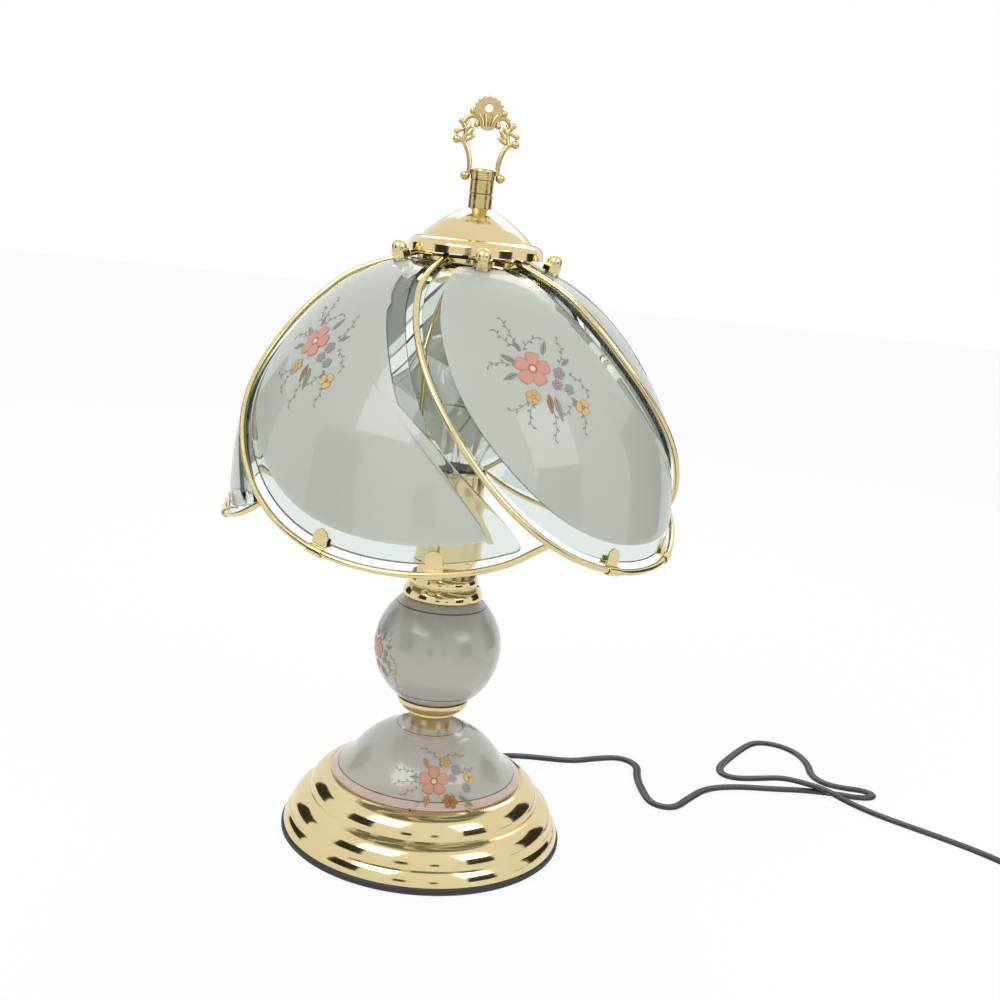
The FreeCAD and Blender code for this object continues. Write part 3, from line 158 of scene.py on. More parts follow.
flagFinish = bpy.data.materials.new("blackFlagCloth")  # dark felt flag: swallows light
flagFinish.use_nodes = True
flagFinish.node_tree.nodes["Principled BSDF"].inputs["Base Color"].default_value = tint(roomSet["flagHex"])
flagFinish.node_tree.nodes["Principled BSDF"].inputs["Roughness"].default_value = 1.0
for number, (azimuth, distance, low, high, half) in enumerate(roomSet["flags"]):
    corners = []
    for side, height in ((-1, low), (1, low), (1, high), (-1, high)):
        angle = math.radians(azimuth + side * half)
        corners.append((distance * math.sin(angle), -distance * math.cos(angle), height))
    card = bpy.data.meshes.new(f"flag{number + 1}")
    card.from_pydata(corners, [], [(0, 1, 2, 3)])
    card.materials.append(flagFinish)
    flag = addPiece(f"flag{number + 1}", card)
    hideButGloss(flag)

for number, (place, target, width, height, watts) in enumerate(roomSet["lamps"]):
    light = bpy.data.lights.new(f"softbox{number + 1}", "AREA")
    light.shape = "RECTANGLE"
    light.size = width
    light.size_y = height
    light.energy = watts
    box = bpy.data.objects.new(f"softbox{number + 1}", light)
    scene.collection.objects.link(box)
    box.location = place
    box.rotation_euler = (Vector(target) - Vector(place)).to_track_quat("-Z", "Y").to_euler()
print("lamp: camera and room are set")


# ---- finishes
def newFinish(name):
    finish = bpy.data.materials.new(name)
    finish.use_nodes = True
    tree = finish.node_tree
    tree.nodes.clear()
    surface = put(tree, "ShaderNodeBsdfPrincipled")
    put(tree, "ShaderNodeOutputMaterial", None, {"Surface": surface.outputs[0]})
    where = put(tree, "ShaderNodeTexCoord")
    return finish, tree, surface, where.outputs["Object"]


def roughGrain(tree, surface, where, scale, low, high, bump, depth):
    # noise of one real size drives the roughness between two values and a shallow bump
    grain = put(tree, "ShaderNodeTexNoise", None, {"Vector": where, "Scale": scale, "Detail": 4.0})
    span = put(tree, "ShaderNodeMapRange", None,
               {"Value": grain.outputs["Fac"], "From Min": 0.3, "From Max": 0.7, "To Min": low, "To Max": high})
    lift = put(tree, "ShaderNodeBump", None,
               {"Height": grain.outputs["Fac"], "Strength": bump, "Distance": depth})
    tree.links.new(span.outputs[0], surface.inputs["Roughness"])
    tree.links.new(lift.outputs[0], surface.inputs["Normal"])
    return grain, lift


brassSet = {
    "pale": "E4D5A6", "deep": "D9C68E",          # polished and lacquered, pale gold
    "castPale": "DCCB98", "castDeep": "BDA56B", "castDirt": "4A3A1C",
    "tarnish": 38.0,                              # blotches about 25 mm
    "spin": (14.0, 14.0, 1500.0),                 # spinning marks round the axis, about 0.7 mm apart
}


def spunBrass():
    # Spun sheet brass, buffed and lacquered: near mirror, faint lathe marks round the axis, hardly any tarnish.
    finish, tree, surface, where = newFinish("spunPolishedBrass")
    blotch = put(tree, "ShaderNodeTexNoise", None, {"Vector": where, "Scale": brassSet["tarnish"], "Detail": 3.0})
    mixed = put(tree, "ShaderNodeMix", {"data_type": "RGBA"},
                {"Factor": blotch.outputs["Fac"], 6: tint(brassSet["deep"]), 7: tint(brassSet["pale"])})
    tree.links.new(mixed.outputs[2], surface.inputs["Base Color"])
    squeezed = put(tree, "ShaderNodeMapping", None, {"Vector": where, "Scale": brassSet["spin"]})
    marks = put(tree, "ShaderNodeTexNoise", None, {"Vector": squeezed.outputs[0], "Scale": 1.0, "Detail": 2.0})
    span = put(tree, "ShaderNodeMapRange", None, {"Value": marks.outputs["Fac"], "To Min": 0.06, "To Max": 0.15})
    tree.links.new(span.outputs[0], surface.inputs["Roughness"])
    lift = put(tree, "ShaderNodeBump", None,
               {"Height": marks.outputs["Fac"], "Strength": 0.05, "Distance": 0.0001})
    tree.links.new(lift.outputs[0], surface.inputs["Normal"])
    surface.inputs["Metallic"].default_value = 1.0
    return finish


def drawnBrass():
    # Drawn brass wire and small turned parts, bright dipped: a soft long highlight, tiny die marks.
    finish, tree, surface, where = newFinish("drawnBrassWire")
    grain, lift = roughGrain(tree, surface, where, 700.0, 0.10, 0.22, 0.05, 0.0001)
    mixed = put(tree, "ShaderNodeMix", {"data_type": "RGBA"},
                {"Factor": grain.outputs["Fac"], 6: tint("D3C089"), 7: tint("E6D8A8")})
    tree.links.new(mixed.outputs[2], surface.inputs["Base Color"])
    surface.inputs["Metallic"].default_value = 1.0
    return finish


def castBrass():
    # Sand cast brass, buffed on its high parts: soft bumps, brown residue left in the hollows.
    finish, tree, surface, where = newFinish("castBuffedBrass")
    grain, lift = roughGrain(tree, surface, where, 420.0, 0.14, 0.30, 0.16, 0.0003)
    mixed = put(tree, "ShaderNodeMix", {"data_type": "RGBA"},
                {"Factor": grain.outputs["Fac"], 6: tint(brassSet["castDeep"]), 7: tint(brassSet["castPale"])})
    hollow = put(tree, "ShaderNodeAmbientOcclusion", {"samples": 8}, {"Distance": 0.0022})
    open = put(tree, "ShaderNodeMapRange", None, {"Value": hollow.outputs["AO"], "From Min": 0.25, "From Max": 0.75})
    dirty = put(tree, "ShaderNodeMix", {"data_type": "RGBA"},
                {"Factor": open.outputs[0], 6: tint(brassSet["castDirt"]), 7: mixed.outputs[2]})
    tree.links.new(dirty.outputs[2], surface.inputs["Base Color"])
    surface.inputs["Metallic"].default_value = 1.0
    return finish


def plainMetal(name, pale, deep, low, high, scale):
    finish, tree, surface, where = newFinish(name)
    grain, lift = roughGrain(tree, surface, where, scale, low, high, 0.1, 0.0002)
    mixed = put(tree, "ShaderNodeMix", {"data_type": "RGBA"},
                {"Factor": grain.outputs["Fac"], 6: tint(deep), 7: tint(pale)})
    tree.links.new(mixed.outputs[2], surface.inputs["Base Color"])
    surface.inputs["Metallic"].default_value = 1.0
    return finish


def plainSoft(name, pale, deep, low, high, scale, bump, depth, ior=1.5):
    finish, tree, surface, where = newFinish(name)
    grain, lift = roughGrain(tree, surface, where, scale, low, high, bump, depth)
    mixed = put(tree, "ShaderNodeMix", {"data_type": "RGBA"},
                {"Factor": grain.outputs["Fac"], 6: tint(deep), 7: tint(pale)})
    tree.links.new(mixed.outputs[2], surface.inputs["Base Color"])
    surface.inputs["IOR"].default_value = ior
    return finish


ceramicSet = {
    "glaze": "B7B3AB", "glazeDeep": "ABA79F", "line": "6A4B3D", "border": "C9B4A9",
    "domeRing": 17.6, "domeBorder": 47.3, "lineHalf": 0.28,
    "ballLines": (82.4, 128.5),
}


def glazedCeramic(name, ringRadii, lineHeights, borderRadius):
    # Slip cast earthenware under a warm grey glaze: glossy, a little uneven, with brown hand ringed lines.
    finish, tree, surface, where = newFinish(name)
    cloud = put(tree, "ShaderNodeTexNoise", None, {"Vector": where, "Scale": 45.0, "Detail": 5.0})
    colour = put(tree, "ShaderNodeMix", {"data_type": "RGBA"},
                 {"Factor": cloud.outputs["Fac"], 6: tint(ceramicSet["glazeDeep"]), 7: tint(ceramicSet["glaze"])})
    parts = put(tree, "ShaderNodeSeparateXYZ", None, {0: where})
    flat = put(tree, "ShaderNodeCombineXYZ", None, {0: parts.outputs[0], 1: parts.outputs[1]})
    radius = put(tree, "ShaderNodeVectorMath", {"operation": "LENGTH"}, {0: flat.outputs[0]})
    colour = colour.outputs[2]
    if borderRadius:
        beyond = put(tree, "ShaderNodeMath", {"operation": "GREATER_THAN"},
                     {0: radius.outputs["Value"], 1: borderRadius * mm})
        colour = put(tree, "ShaderNodeMix", {"data_type": "RGBA"},
                     {"Factor": beyond.outputs[0], 6: colour, 7: tint(ceramicSet["border"])}).outputs[2]
    wobble = put(tree, "ShaderNodeTexNoise", None, {"Vector": where, "Scale": 160.0})
    half = put(tree, "ShaderNodeMapRange", None,  # the brush line is a little thicker here and there
               {"Value": wobble.outputs["Fac"], "To Min": 0.6 * ceramicSet["lineHalf"] * mm,
                "To Max": 1.4 * ceramicSet["lineHalf"] * mm})
    for measure, value in ([(radius.outputs["Value"], r) for r in ringRadii]
                           + [(parts.outputs[2], z) for z in lineHeights]):
        away = put(tree, "ShaderNodeMath", {"operation": "SUBTRACT"}, {0: measure, 1: value * mm})
        away = put(tree, "ShaderNodeMath", {"operation": "ABSOLUTE"}, {0: away.outputs[0]})
        near = put(tree, "ShaderNodeMath", {"operation": "LESS_THAN"}, {0: away.outputs[0], 1: half.outputs[0]})
        colour = put(tree, "ShaderNodeMix", {"data_type": "RGBA"},
                     {"Factor": near.outputs[0], 6: colour, 7: tint(ceramicSet["line"])}).outputs[2]
    tree.links.new(colour, surface.inputs["Base Color"])
    span = put(tree, "ShaderNodeMapRange", None,
               {"Value": cloud.outputs["Fac"], "From Min": 0.3, "From Max": 0.7, "To Min": 0.16, "To Max": 0.26})
    tree.links.new(span.outputs[0], surface.inputs["Roughness"])
    lift = put(tree, "ShaderNodeBump", None,
               {"Height": cloud.outputs["Fac"], "Strength": 0.06, "Distance": 0.0006})
    tree.links.new(lift.outputs[0], surface.inputs["Normal"])
    surface.inputs["IOR"].default_value = 1.52
    surface.inputs["Coat Weight"].default_value = 0.5
    surface.inputs["Coat Roughness"].default_value = 0.06
    return finish


def clearGlass(name, code, roughness=0.0):
    # Drawn clear glass, fire polished: no colour face on, faint green where it is seen deep.
    finish, tree, surface, where = newFinish(name)
    wave = put(tree, "ShaderNodeTexNoise", None, {"Vector": where, "Scale": 70.0, "Detail": 1.0})
    lift = put(tree, "ShaderNodeBump", None, {"Height": wave.outputs["Fac"], "Strength": 0.03, "Distance": 0.0004})
    tree.links.new(lift.outputs[0], surface.inputs["Normal"])
    surface.inputs["Base Color"].default_value = tint(code)
    surface.inputs["Roughness"].default_value = roughness
    surface.inputs["IOR"].default_value = 1.5
    surface.inputs["Transmission Weight"].default_value = 1.0
    return finish


def frostedGlass():
    # Sand blasted sheet glass: pale green white, soft all over, with a sheen from its polished outer face.
    finish, tree, surface, where = newFinish("sandblastedGlass")
    cloud = put(tree, "ShaderNodeTexNoise", None, {"Vector": where, "Scale": 16.0, "Detail": 3.0})
    speck = put(tree, "ShaderNodeTexNoise", None, {"Vector": where, "Scale": 1800.0, "Detail": 2.0})
    colour = put(tree, "ShaderNodeMix", {"data_type": "RGBA"},
                 {"Factor": cloud.outputs["Fac"], 6: tint("B3B9AF"), 7: tint("C1C7BD")})
    tree.links.new(colour.outputs[2], surface.inputs["Base Color"])
    span = put(tree, "ShaderNodeMapRange", None, {"Value": speck.outputs["Fac"], "To Min": 0.42, "To Max": 0.62})
    tree.links.new(span.outputs[0], surface.inputs["Roughness"])
    surface.inputs["IOR"].default_value = 1.5
    surface.inputs["Transmission Weight"].default_value = 0.14
    surface.inputs["Coat Weight"].default_value = 0.7
    surface.inputs["Coat Roughness"].default_value = 0.04
    return finish


def printInk():
    # Ceramic transfer print, fired on: thin pigment film with its colours in the piece's own attribute.
    finish, tree, surface, where = newFinish("firedTransferPrint")
    ink = put(tree, "ShaderNodeAttribute", {"attribute_name": "printColour"})
    dots = put(tree, "ShaderNodeTexNoise", None, {"Vector": where, "Scale": 1500.0, "Detail": 2.0})
    span = put(tree, "ShaderNodeMapRange", None, {"Value": dots.outputs["Fac"], "To Min": 0.82, "To Max": 1.12})
    shade = put(tree, "ShaderNodeVectorMath", {"operation": "SCALE"}, {0: ink.outputs["Color"], "Scale": span.outputs[0]})
    tree.links.new(shade.outputs[0], surface.inputs["Base Color"])
    rough = put(tree, "ShaderNodeMapRange", None, {"Value": dots.outputs["Fac"], "To Min": 0.24, "To Max": 0.4})
    tree.links.new(rough.outputs[0], surface.inputs["Roughness"])
    return finish


finishes = {
    "spun": spunBrass(),
    "drawn": drawnBrass(),
    "cast": castBrass(),
    # Extruded brass, plain and a little dull: socket screw shell and plug blades.
    "plainBrass": plainMetal("extrudedPlainBrass", "CFB372", "B6965A", 0.25, 0.4, 600.0),
    # Zinc plated mild steel: cool grey, fine crystalline grain.
    "zinc": plainMetal("zincPlatedSteel", "B9BCBE", "9A9DA0", 0.3, 0.45, 900.0),
    # Grey cast iron weight: dark, pitted.
    "iron": plainMetal("greyCastIron", "5B5B5C", "3D3D3F", 0.55, 0.8, 500.0),
    # Nickel plated bulb cap: bright grey white.
    "nickel": plainMetal("nickelPlatedBrass", "C9C6BE", "A9A69E", 0.16, 0.3, 700.0),
    # Tungsten, drawn and coiled: dark grey metal.
    "tungsten": plainMetal("drawnTungsten", "77746F", "55534F", 0.3, 0.45, 2000.0),
    # Moulded rubber ring: soft black with a low sheen and mould grain of about 1 mm.
    "rubber": plainSoft("mouldedRubber", "2E3236", "1F2226", 0.5, 0.68, 900.0, 0.15, 0.0002, 1.52),
    # Needled felt: fibrous black pad, no gloss.
    "felt": plainSoft("needledFelt", "24242A", "131316", 0.9, 1.0, 1600.0, 0.6, 0.0006),
    # Moulded black ABS: even, satin, fine spark eroded grain.
    "plastic": plainSoft("mouldedAbs", "2A2B2E", "1E1F22", 0.32, 0.46, 1300.0, 0.1, 0.0001, 1.53),
    # Extruded PVC of the lead: smooth, satin, nearly black.
    "vinyl": plainSoft("extrudedPvc", "2B2F36", "1E2127", 0.26, 0.40, 500.0, 0.08, 0.0002, 1.53),
    # Pressed fibre card of the socket liner: brown, matt, with short fibres.
    "card": plainSoft("pressedCard", "8A7354", "6E5A40", 0.75, 0.9, 1200.0, 0.3, 0.0003),
    # Clear vinyl washers under the nuts.
    "clearVinyl": clearGlass("clearSoftVinyl", "E6E8E4", 0.15),
    "bulbGlass": clearGlass("blownBulbGlass", "F6F8F7"),
    "border": clearGlass("polishedBevelGlass", "E3EBE6"),
    "edge": clearGlass("groundGlassEdge", "B4D6CB", 0.12),
    "frosted": frostedGlass(),
    "ink": printInk(),
    "dome": glazedCeramic("glazedEarthenwareDome", [ceramicSet["domeRing"], ceramicSet["domeBorder"]], [],
                          ceramicSet["domeBorder"]),
    "ball": glazedCeramic("glazedEarthenwareBall", [], ceramicSet["ballLines"], 0),
}

finishOf = {
    "spun": ["base_shell", "lower_cup", "upper_collar", "socket_cap", "socket_shell", "shade_plate", "shade_cap",
             "frame_hub", "harp_crown", "petal_clips"],
    "drawn": ["petal_wire_1", "petal_wire_2", "petal_wire_3", "petal_wire_4", "petal_wire_5", "harp", "harp_saddle",
              "harp_sleeve_1", "harp_sleeve_2", "harp_stud", "acorn_nuts", "petal_studs", "hub_nut"],
    "cast": ["finial_coupler", "finial_post", "finial_loop"],
    "plainBrass": ["socket_screw_shell", "plug_blades"],
    "zinc": ["threaded_rod", "rod_nut", "rod_washer"],
    "iron": ["base_weight"],
    "nickel": ["bulb_screw_base"],
    "tungsten": ["bulb_filament"],
    "rubber": ["foot_ring"],
    "felt": ["felt_pad"],
    "plastic": ["touch_control_box", "cord_bushing", "socket_body", "plug_body"],
    "vinyl": ["inner_cord", "socket_leads"],
    "card": ["socket_liner"],
    "clearVinyl": ["petal_washers"],
    "bulbGlass": ["bulb_glass", "bulb_stem"],
    "dome": ["base_dome"],
    "ball": ["ceramic_ball"],
}
for key, names in finishOf.items():
    for name in names:
        for place in nodes[name].material_slots:
            place.material = finishes[key]
print("lamp: finishes are on the nodes")


# ---- cord: flat twin lead, straight out of the bushing, over the table and away in a neat coil
cordSet = {
    "exit": (27.40, 75.27, 15.5),
    "fall": [(29.45, 80.91, 15.5), (32.65, 87.48, 11.2), (38.57, 93.59, 5.4)],
    "rest": 1.4,           # centre line over the table
    "hump": 3.1,           # rise where the lead passes over itself
    "table": [(54, 109, 0), (72, 109, 0), (91, 108, 0), (109, 117, 0), (124, 121, 0), (133, 110, 0), (130, 92, 0),
              (131, 72, 0), (134, 54, 0), (147, 50, 0), (158, 66, 0), (172, 84, 0), (192, 91, 0), (214, 92, 0),
              (236, 94.5, 0), (255, 93, 0), (268, 90, 0), (277, 91.5, 0), (280, 97, 0), (275, 102, 0),
              (264, 103, 0), (252, 107, 0), (246, 119, 0), (249, 137, 0), (246, 156, 0), (235, 168, 0),
              (220, 169, 0), (208, 154, 0), (197, 137, 0), (188, 122, 0), (185.5, 112, 0), (189, 105.5, 0),
              (197, 104, 0), (209, 106, 0.1), (223, 104, 1), (236, 99, 1), (248, 91, 1), (260, 80, 0.15),
              (273, 67, 0), (289, 54, 0), (305, 41.5, 0), (320, 28.5, 0), (333, 14, 0), (343, -1, 0),
              (350.2, -16, 0), (350.2, -30, 0)],
    "coilCentre": (385.7, -34.0),
    "coilRadius": 35.5,
    "coilPitch": 5.2,
    "coilTurns": 3,        # turns in each of two layers
    "coilPoints": 14,      # points in each turn
    "layerRise": 2.9,
    "tail": [(350.2, -46.0, 5.2), (350.2, -54.0, 6.3), (350.2, -60.0, 6.5)],
    "lobe": 1.25,          # radius of each of the two conductors' sleeves
    "web": 0.8,            # half thickness between them
    "length": 1.8,
    "sleeve": 24.0,        # moulded strain relief
    "sleeveRadii": (3.5, 2.75),
}


def leadPoints():
    points = [cordSet["exit"]] + cordSet["fall"]
    points += [(x, y, cordSet["rest"] + rise * cordSet["hump"]) for x, y, rise in cordSet["table"]]
    turns = cordSet["coilTurns"]
    for k in range(2 * turns * cordSet["coilPoints"] + 1):
        done = k / cordSet["coilPoints"]
        inward = done if done <= turns else 2 * turns - done
        radius = cordSet["coilRadius"] - cordSet["coilPitch"] * inward
        angle = math.pi + 2 * math.pi * done
        climb = min(max((done - turns + 0.25) / 0.5, 0.0), 1.0)
        points.append((cordSet["coilCentre"][0] + radius * math.cos(angle),
                       cordSet["coilCentre"][1] + radius * math.sin(angle),
                       cordSet["rest"] + cordSet["layerRise"] * climb))
    return [tuple(c * mm for c in p) for p in points + cordSet["tail"]]


route = bpy.data.curves.new("leadRoute", "CURVE")
route.dimensions = "3D"
spline = route.splines.new("NURBS")
leadMarks = leadPoints()
spline.points.add(len(leadMarks) - 1)
for point, place in zip(spline.points, leadMarks):
    point.co = (*place, 1.0)
spline.order_u = 3
spline.use_endpoint_u = True
spline.resolution_u = 6
routeObject = addPiece("leadRoute", route)
bpy.context.view_layer.update()
line = bpy.data.meshes.new_from_object(routeObject)
leadPath = [line.vertices[0].co.copy()]
for vertex in line.vertices[1:]:
    if (vertex.co - leadPath[-1]).length > 0.1 * mm:
        leadPath.append(vertex.co.copy())
bpy.data.objects.remove(routeObject)
bpy.data.meshes.remove(line)


def carried(name, path, outlines, finish):
    # carries closed outlines (across, up) along a path and keeps them level with the table
    points = []
    faces = []
    count = len(outlines[0])
    for k, here in enumerate(path):
        ahead = (path[min(k + 1, len(path) - 1)] - path[max(k - 1, 0)]).normalized()
        side = ahead.cross(Vector((0, 0, 1))).normalized()
        over = side.cross(ahead)
        points += [here + side * a + over * b for a, b in outlines[k % len(outlines)]]
    for k in range(len(path) - 1):
        for j in range(count):
            a = k * count + j
            b = k * count + (j + 1) % count
            faces.append((a, b, b + count, a + count))
    faces.append(tuple(range(count)))
    faces.append(tuple((len(path) - 1) * count + j for j in range(count)))
    mesh = bpy.data.meshes.new(name)
    mesh.from_pydata(points, [], faces)
    work = bmesh.new()
    work.from_mesh(mesh)
    bmesh.ops.recalc_face_normals(work, faces=work.faces)
    for face in work.faces:
        face.smooth = len(face.verts) == 4
    work.to_mesh(mesh)
    work.free()
    mesh.materials.append(finish)
    return addPiece(name, mesh)


lobe = cordSet["lobe"] * mm
twin = [(lobe + lobe * math.cos(math.radians(a)), lobe * math.sin(math.radians(a))) for a in range(-120, 121, 30)]
twin.append((0.0, cordSet["web"] * mm))
twin += [(-lobe + lobe * math.cos(math.radians(a)), lobe * math.sin(math.radians(a))) for a in range(60, 301, 30)]
twin.append((0.0, -cordSet["web"] * mm))
lead = carried("twinLead", leadPath, [twin], finishes["vinyl"])

reliefPath = [leadPath[0]]
gone = 0.0
for before, here in zip(leadPath, leadPath[1:]):
    pieceLength = (here - before).length
    steps = max(1, round(pieceLength / (0.4 * mm)))
    for k in range(1, steps + 1):
        if gone + pieceLength * k / steps <= cordSet["sleeve"] * mm:
            reliefPath.append(before.lerp(here, k / steps))
    gone += pieceLength
    if gone > cordSet["sleeve"] * mm:
        break
reliefRings = []
for k in range(len(reliefPath)):
    share = k / (len(reliefPath) - 1)
    rib = 0.3 if math.sin(share * math.pi * 14) > 0 else 0.0
    radius = (cordSet["sleeveRadii"][0] * (1 - share) + cordSet["sleeveRadii"][1] * share + rib) * mm
    reliefRings.append([(radius * math.cos(math.radians(a)), radius * math.sin(math.radians(a)))
                        for a in range(0, 360, 15)])
relief = carried("strainRelief", reliefPath, reliefRings, finishes["rubber"])
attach(lead, "base")
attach(relief, "base")
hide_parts("power_cord", "power_cord_coil")
print("lamp: lead is laid,", round(sum((b - a).length for a, b in zip(leadPath, leadPath[1:])), 3), "m")


# ---- glass petals: slices of one dome, bevelled clear border round a frosted middle
petalSet = {
    "count": 5,
    "nut": 5.7,            # angle of the front nut
    "foot": 166.0,
    "focus": 202.0,        # the glass is nearly round about this height of the axis
    "thickness": 3.0,
    "profile": [(24.5, 140.3), (44.0, 135.2), (68.5, 119.3), (92.5, 91.0), (107.0, 63.0), (112.0, 33.0),
                (112.5, 0.0)],
    "wire": [(-34.0, 141.7), (-30.5, 134.5), (-25.5, 119.8), (-15.8, 92.0), (-4.8, 64.0), (7.5, 38.0),
             (20.0, 20.5), (35.0, 9.5), (51.0, 5.8), (67.0, 7.8), (89.0, 22.8)],
    "free": [(31.5, 137.8), (40.5, 120.0), (49.5, 97.0), (58.0, 72.0), (68.5, 49.5), (77.0, 34.5), (83.5, 19.5)],
    "insets": (1.6, 3.8),  # glass edge from the wire's centre line: side, then foot
    "corner": 9.0,
    "topRadius": 30.0,     # the glass starts here, under the cap
    "studBore": 2.4,
    "studRadius": 38.4,
    "border": 8.5,
    "bevel": 0.9,
    "spokes": 220,
    "rings": 14,
}


def smooth(points, marks):
    # cubic through points, spaced by chord length, read at marks from 0 to 1
    p = np.asarray(points, float)
    step = np.linalg.norm(np.diff(p, axis=0), axis=1)
    t = np.concatenate(([0.0], np.cumsum(step)))
    n = len(p)
    a = np.zeros((n, n))
    b = np.zeros_like(p)
    a[0, 0] = a[-1, -1] = 1.0
    b[0] = np.polyfit(t[:4] - t[0], p[:4], 3)[-2]
    b[-1] = np.polyfit(t[-4:] - t[-1], p[-4:], 3)[-2]
    for k in range(1, n - 1):
        before, after = step[k - 1], step[k]
        a[k, k - 1] = after
        a[k, k] = 2 * (before + after)
        a[k, k + 1] = before
        b[k] = 3 * (before * (p[k + 1] - p[k]) / after + after * (p[k] - p[k - 1]) / before)
    slope = np.linalg.solve(a, b)
    u = np.clip(np.asarray(marks, float), 0, 1) * t[-1]
    k = np.clip(np.searchsorted(t, u, side="right") - 1, 0, n - 2)
    h = step[k][:, None]
    s = ((u - t[k]) / step[k])[:, None]
    return ((2 * s ** 3 - 3 * s ** 2 + 1) * p[k] + (s ** 3 - 2 * s ** 2 + s) * h * slope[k]
            + (3 * s ** 2 - 2 * s ** 3) * p[k + 1] + (s ** 3 - s ** 2) * h * slope[k + 1])


section = smooth([(r, petalSet["foot"] + z) for r, z in petalSet["profile"]], np.linspace(0, 1, 401))
ahead = np.gradient(section, axis=0)
ahead /= np.linalg.norm(ahead, axis=1)[:, None]
innerSection = section + np.stack([ahead[:, 1], -ahead[:, 0]], axis=1) * petalSet["thickness"]


def sightTable(rows):
    angle = np.arctan2(rows[:, 1] - petalSet["focus"], rows[:, 0])
    reach = np.hypot(rows[:, 0], rows[:, 1] - petalSet["focus"])
    order = np.argsort(angle)
    return angle[order], reach[order]


outerTable = sightTable(section)
innerTable = sightTable(innerSection)
focus = np.array([0.0, 0.0, petalSet["focus"]])


def onGlass(points, table, drop=0.0):
    away = points - focus
    away /= np.linalg.norm(away, axis=-1, keepdims=True)
    angle = np.arctan2(away[..., 2], np.hypot(away[..., 0], away[..., 1]))
    reach = np.interp(angle, table[0], table[1]) - drop
    return focus + away * reach[..., None]


def domePoints(pairs):
    pairs = np.asarray(pairs)
    height = petalSet["foot"] + pairs[:, 1]
    radius = np.interp(-height, -section[:, 1], section[:, 0])
    angle = np.radians(petalSet["nut"] + pairs[:, 0])
    return np.stack([radius * np.sin(angle), -radius * np.cos(angle), height], axis=1)


middle = np.radians(petalSet["nut"] + 34.0)
lookUp = np.radians(25.0)
sightLine = np.array([np.cos(lookUp) * np.sin(middle), -np.cos(lookUp) * np.cos(middle), np.sin(lookUp)])


def onChart(points):
    away = points - focus
    return focus + away * (160.0 / (away @ sightLine))[:, None]


def cutAt(points, length):
    # part of a polyline up to a length from its start
    run = np.concatenate(([0], np.cumsum(np.linalg.norm(np.diff(points, axis=0), axis=1))))
    end = np.array([np.interp(length, run, points[:, c]) for c in range(3)])
    return np.vstack([points[run < length], end]), run[-1]


def petalChart():
    route = domePoints(smooth(petalSet["wire"], np.linspace(0, 1, 16)))
    share = np.clip((np.arange(16) / 15.0 - 0.35) / 0.2, 0, 1)
    inset = petalSet["insets"][0] + share * (petalSet["insets"][1] - petalSet["insets"][0])
    run = np.vstack([route[1] - route[0], route[2:] - route[:-2], route[-1] - route[-2]])
    shift = np.cross(route - focus, run)
    edge = route + shift / np.linalg.norm(shift, axis=1)[:, None] * inset[:, None]
    free = domePoints(smooth(petalSet["free"], np.linspace(0, 1, 7)))
    corner = math.atan2(free[-1][0], -free[-1][1])
    side = np.array([p for p in edge if math.atan2(p[0], -p[1]) < corner - 0.1])
    first = smooth(onChart(np.vstack([side, free[-1:]])), np.linspace(0, 1, 300))
    second = smooth(onChart(free[::-1]), np.linspace(0, 1, 300))
    trim = petalSet["corner"] * 160.0 / petalSet["profile"][-1][0]
    tip = first[-1]
    length = np.sum(np.linalg.norm(np.diff(first, axis=0), axis=1))
    first = cutAt(first, length - trim)[0]
    back = np.sum(np.linalg.norm(np.diff(second, axis=0), axis=1))
    second = cutAt(second[::-1], back - trim)[0][::-1]
    a, b = first[-1], second[0]
    poles = (a, a + (tip - a) * 0.7, b + (tip - b) * 0.7, b)
    s = np.linspace(0, 1, 40)[1:-1, None]
    bend = ((1 - s) ** 3 * poles[0] + 3 * (1 - s) ** 2 * s * poles[1] + 3 * (1 - s) * s ** 2 * poles[2]
            + s ** 3 * poles[3])
    close = second[-1] + np.linspace(0, 1, 60)[1:-1, None] * (first[0] - second[-1])
    loop = np.vstack([first, bend, second, close])
    glass = onGlass(loop, outerTable)
    radius = np.hypot(glass[:, 0], glass[:, 1])
    grow = np.maximum(1.0, petalSet["topRadius"] / radius)
    glass[:, 0] *= grow
    glass[:, 1] *= grow
    high = np.interp(-np.hypot(glass[:, 0], glass[:, 1]), -section[::-1, 0], section[::-1, 1])
    glass[:, 2] = np.where(grow > 1.0, high, glass[:, 2])
    loop = onChart(glass)
    ring = np.vstack([loop, loop[:1]])
    run = np.concatenate(([0], np.cumsum(np.linalg.norm(np.diff(ring, axis=0), axis=1))))
    marks = np.linspace(0, run[-1], petalSet["spokes"], endpoint=False)
    return np.stack([np.interp(marks, run, ring[:, c]) for c in range(3)], axis=1)


